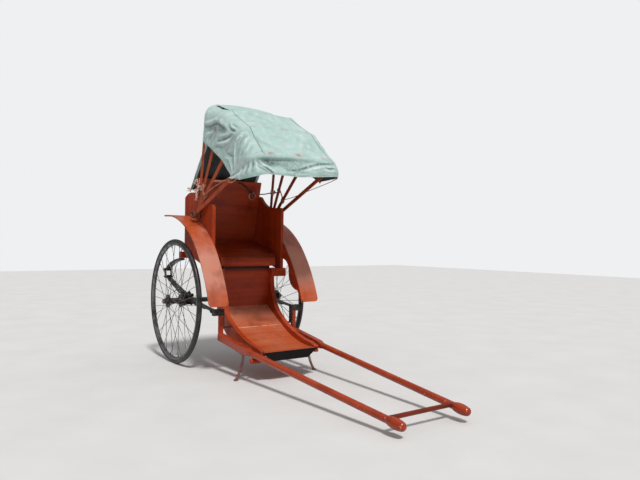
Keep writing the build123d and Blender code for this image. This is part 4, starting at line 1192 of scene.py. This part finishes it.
# X from the axle, Z and half length of the pins in the springs' eyes and shackles
EYE_PINS = ((0.438, 0.388, 0.0255), (-0.340, 0.565, 0.0245), (-0.348, 0.617, 0.0245))
BRACKET_FRONT = (0.483, 0.382)
BRACKET_BOLTS_Y = (0.291, 0.271)
POST_STRAP = (0.467, 0.2512)
POST_STRAP_BOLTS_Z = (0.345, 0.305)
LEG_PLATE = (0.705, 0.232, 0.164)
LEG_BOLT = (0.020, 0.027)
LEG_TILT = 8.0
CORNERS = ((-1, -1), (-1, 1), (1, -1), (1, 1))
NIPPLE_AT = 0.362
NIPPLE = ((0.0, 0.0021), (0.012, 0.0026), (0.0155, 0.0026))
SPOKES_A_FLANGE = 18
# a nipple's places across the rim, from its flange and from the way that its spoke leads
FLANGE_SHIFT, LEAD_SHIFT = 0.0038, 0.0019
HUB_NUT_OUT = 0.070
HUB_NUT = ((0.0, 0.0145), (0.003, 0.0165), (0.012, 0.0165), (0.014, 0.0135))
RAIL_NAILS, RAIL_NAIL_FIRST, RAIL_NAIL_PITCH = 11, -0.37, 0.038
RAIL_NAIL_IN, RAIL_NAIL_R, RAIL_NAIL_HIGH = 0.012, 0.0032, 0.0016
RING_AT = (0.186, 1.160)
RING_R = 0.0255
RING_WIRE = 0.0032
# (Y, Z, distance from the board) along the strap, and its half width and thickness
STRAP = (
    (0.060, 1.247, 0.001), (0.096, 1.240, 0.003), (0.135, 1.216, 0.004), (0.166, 1.192, 0.006), (0.178, 1.183, 0.009)
)
STRAP_HALF, STRAP_THICK = 0.0065, 0.0013
# nuts, as radius, height and the washer's share of the radius
CLAMP_NUT = (0.0075, 0.0065, 1.35)
EYE_NUT = (0.0078, 0.0060, 1.25)
BRACKET_NUT = (0.0068, 0.0055, 1.2)
STRAP_NUT = (0.0062, 0.0050, 1.2)
LEG_NUT = (0.0055, 0.0045, 1.2)
# turned forms, as (height, radius) shares
DOME = ((0, 1.0), (0.35, 0.93), (0.62, 0.70), (0.80, 0.38), (0.86, 0.02))
NUT = ((0.0, 0.92), (0.10, 1.0), (0.85, 1.0), (1.0, 0.88))
WASHER = ((0.0, 0.96), (0.5, 1.0), (1.0, 0.94))


def rail_nails():
    """domed nails along the foot rails' tops"""
    nails = Shape()
    top = {}
    for vertex in frame["nodes"]["foot_rail_right"].data.vertices:
        x, _, z = vertex.co
        top[round(x, 3)] = max(top.get(round(x, 3), z), z)
    xs = sorted(top)
    zs = [top[x] for x in xs]
    inner = -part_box("foot_rail_right")[1].y + RAIL_NAIL_IN
    for side in (NEAR, FAR):
        for k in range(RAIL_NAILS):
            x = RAIL_NAIL_FIRST + k * RAIL_NAIL_PITCH
            behind, z, ahead = (float(np.interp(x + dx, xs, zs)) for dx in (-0.01, 0, 0.01))
            profile = [(h * RAIL_NAIL_HIGH, r * RAIL_NAIL_R) for h, r in DOME]
            nails.turned((x, side * inner, z), (behind - ahead, 0, 0.02), profile, 10)
    nails.piece("rail_nails", DARK_IRON, "chassis")


def nut(shape, at, way, radius, height, washer):
    """a washer with a six-sided nut on it, standing on a surface"""
    way = Vector(way).normalized()
    at = Vector(at)
    thick = height * 0.22
    shape.turned(at, way, [(h * thick, r * radius * washer) for h, r in WASHER], 16)
    shape.turned(at + way * thick, way, [(h * height, r * radius) for h, r in NUT], 6)
    shape.turned(at + way * (thick + height), way, [(0.0, radius * 0.52), (0.0022, radius * 0.44)], 10)


def bolts(side, word):
    """nuts on the springs' clamps, eyes, brackets and the legs' plates"""
    shape = Shape()
    lean, along = upright(CLAMP_LEAN)
    for dx, dy in CORNERS:
        middle = Vector((WHEEL.x, side * SPRING_Y + dy * CLAMP_BOLT[1], WHEEL.z)) + along * (dx * CLAMP_BOLT[0])
        for way, away in ((lean, CLAMP_TOP), (-lean, CLAMP_UNDER)):
            nut(shape, middle + way * away, way, *CLAMP_NUT)
    for x, z, half in EYE_PINS:
        for way in (-1, 1):
            nut(shape, (x + AXLE_X, side * SPRING_Y + way * half, z), (0, way, 0), *EYE_NUT)
    for y in BRACKET_BOLTS_Y:
        nut(shape, (BRACKET_FRONT[0] + AXLE_X, side * y, BRACKET_FRONT[1]), (1, 0, 0), *BRACKET_NUT)
    for z in POST_STRAP_BOLTS_Z:
        nut(shape, (POST_STRAP[0] + AXLE_X, side * POST_STRAP[1], z), (0, -side, 0), *STRAP_NUT)
    shape.piece("spring_nuts_" + word, DARK_IRON, "chassis", False)
    plate = Shape()
    x, y, z = LEG_PLATE
    up, flat = upright(LEG_TILT)
    for dx, dy in CORNERS:
        middle = Vector((x + AXLE_X, side * (y + dy * LEG_BOLT[1]), z)) + flat * (dx * LEG_BOLT[0])
        nut(plate, middle, -up, *LEG_NUT)
    plate.piece("leg_nuts_" + word, LEG_STEEL, "chassis", False)


def wheel_nipples(side, word):
    """the spokes' nipples inside the rim, and the hub's nut"""
    shape = Shape()
    centre = Vector((WHEEL.x, side * abs(WHEEL.y), WHEEL.z))
    pitch = 360 / SPOKES_A_FLANGE
    for flange in (-1, 1):
        for k in range(SPOKES_A_FLANGE):
            a = math.radians(k * pitch + (pitch / 2 if flange > 0 else 0))
            shift = side * (flange * FLANGE_SHIFT + (LEAD_SHIFT if k % 2 else -LEAD_SHIFT))
            way = Vector((math.cos(a), 0, math.sin(a)))
            at = centre + way * NIPPLE_AT + Vector((0, shift, 0))
            shape.tube([at + way * h for h, _ in NIPPLE], [r for _, r in NIPPLE])
    shape.turned(centre + Vector((0, side * HUB_NUT_OUT, 0)), (0, side, 0), HUB_NUT, 6)
    shape.piece("spoke_nipples_" + word, RIM_STEEL, "wheel_" + word, False)


def back_ring():
    """an iron ring that hangs from a strap on the front of the backrest"""
    mesh = frame["nodes"]["backrest"].data
    board = BVHTree.FromPolygons([v.co for v in mesh.vertices], [tuple(f.vertices) for f in mesh.polygons])

    def on_board(y, z, out):
        place, normal, _, _ = board.ray_cast(Vector((0.6, y, z)), Vector((-1, 0, 0)))
        return place + normal * out

    middle = on_board(*RING_AT, RING_WIRE)
    up = (on_board(RING_AT[0], RING_AT[1] + 0.03, RING_WIRE) - middle).normalized()
    across = Vector((0, 1, 0))
    ring = Shape()
    turn = [middle + (across * math.cos(a) + up * math.sin(a)) * RING_R for a in np.linspace(0, 2 * math.pi, 49)]
    ring.tube(turn, RING_WIRE, 10, False)
    ring.piece("back_ring", RING_STEEL, "chassis")
    strap = Shape()
    path = curve_through([on_board(y, z, out) for y, z, out in STRAP], 6)
    for p, q in zip(path, path[1:]):
        way = (q - p).normalized()
        out = Vector((1, 0, 0))
        side = way.cross(out).normalized()
        corners = [c + side * (a * STRAP_HALF) + out * (b * STRAP_THICK) for c in (p, q + way * 0.0006)
                   for a, b in ((-1, 0), (1, 0), (1, 1), (-1, 1))]
        strap.add(corners, [(0, 1, 2, 3), (7, 6, 5, 4), (0, 4, 5, 1), (1, 5, 6, 2), (2, 6, 7, 3), (3, 7, 4, 0)])
    strap.piece("back_ring_strap", STRAP_LEATHER, "chassis", shade_smooth=False)


RING_STEEL = aged_metal("ring_steel", (0.560, 0.500, 0.470), (0.300, 0.240, 0.220), (0.300, 0.140, 0.090), 0.5, 0.5)
STRAP_LEATHER = painted_wood(
    "strap_leather", (0.110, 0.030, 0.016), (0.055, 0.014, 0.008), (0.180, 0.080, 0.055), "Z", 0.2, 0.6
)
rail_nails()
for make in (bolts, wheel_nipples):
    for side, word in ((FAR, "left"), (NEAR, "right")):
        make(side, word)
back_ring()


# Floor, light and camera
FLOOR_HALF = 14.0
SEEN_SKY = (0.86, 0.87, 0.88)
SKY_STRENGTH = 0.53
# the sky's grey from below the horizon up to the zenith
SKY_RAMP = {"From Min": -0.1, "From Max": 0.9, "To Min": 0.16, "To Max": 1.0}
SUN_STRENGTH = 2.6
SUN_WIDTH = 9
SUN_COLOUR = (1.0, 0.97, 0.93)
SUN_FROM = (0.92, -0.30, 1.42)


def floor():
    f = Finish("studio_floor")
    colour = f.mix(f.noise(3, 0.3, 0.7), (0.700, 0.705, 0.710), (0.660, 0.665, 0.672))
    corners = [(x * FLOOR_HALF, y * FLOOR_HALF, 0) for x, y in ((-1, -1), (1, -1), (1, 1), (-1, 1))]
    mesh_piece("studio_floor", corners, [(0, 1, 2, 3)], f.finish(colour, 0.9))


def lights():
    world = bpy.data.worlds.new("studio")
    bpy.context.scene.world = world
    world.use_nodes = True
    tree = world.node_tree
    tree.nodes.clear()
    place = add_node(tree, "TexCoord").outputs["Generated"]
    height = add_node(tree, "SeparateXYZ", {0: place}).outputs["Z"]
    grey = add_node(tree, "MapRange", {"Value": height, **SKY_RAMP}).outputs[0]
    sky = add_node(tree, "Background", {"Color": grey, "Strength": SKY_STRENGTH}).outputs[0]
    seen = add_node(tree, "Background", {"Color": SEEN_SKY, "Strength": 1.0}).outputs[0]
    path = add_node(tree, "LightPath").outputs
    rays = {0: path["Is Camera Ray"], 1: path["Is Transmission Ray"]}
    either = add_node(tree, "Math", rays, operation="MAXIMUM").outputs[0]
    mix = add_node(tree, "MixShader", {0: either, 1: sky, 2: seen}).outputs[0]
    add_node(tree, "OutputWorld", {"Surface": mix})
    sun = bpy.data.lights.new("sun", "SUN")
    sun.energy = SUN_STRENGTH
    sun.angle = math.radians(SUN_WIDTH)
    sun.color = SUN_COLOUR
    lamp = bpy.data.objects.new("sun", sun)
    lamp.rotation_mode = "QUATERNION"
    lamp.rotation_quaternion = Vector(SUN_FROM).to_track_quat("Z", "Y")
    bpy.context.scene.collection.objects.link(lamp)


def camera():
    yaw, pitch, roll = (math.radians(a) for a in (CAMERA_YAW, CAMERA_PITCH, CAMERA_ROLL))
    ahead = Vector((-math.cos(yaw) * math.cos(pitch), math.sin(yaw) * math.cos(pitch), -math.sin(pitch)))
    right = Vector((math.sin(yaw), math.cos(yaw), 0))
    down = ahead.cross(right)
    tilted_right = right * math.cos(roll) - down * math.sin(roll)
    tilted_down = right * math.sin(roll) + down * math.cos(roll)
    data = bpy.data.cameras.new("camera")
    data.sensor_width = SENSOR_MM
    data.lens = SENSOR_MM * FOCAL_PIXELS / IMAGE_WIDTH
    data.clip_end = 60
    made = bpy.data.objects.new("camera", data)
    columns = (tilted_right, -tilted_down, -ahead)
    turn = Matrix([[column[i] for column in columns] for i in range(3)]).to_4x4()
    made.matrix_world = Matrix.Translation(Vector(CAMERA_AT)) @ turn
    bpy.context.scene.collection.objects.link(made)
    bpy.context.scene.camera = made


floor()
lights()
camera()
bpy.context.scene.view_settings.view_transform = "Standard"
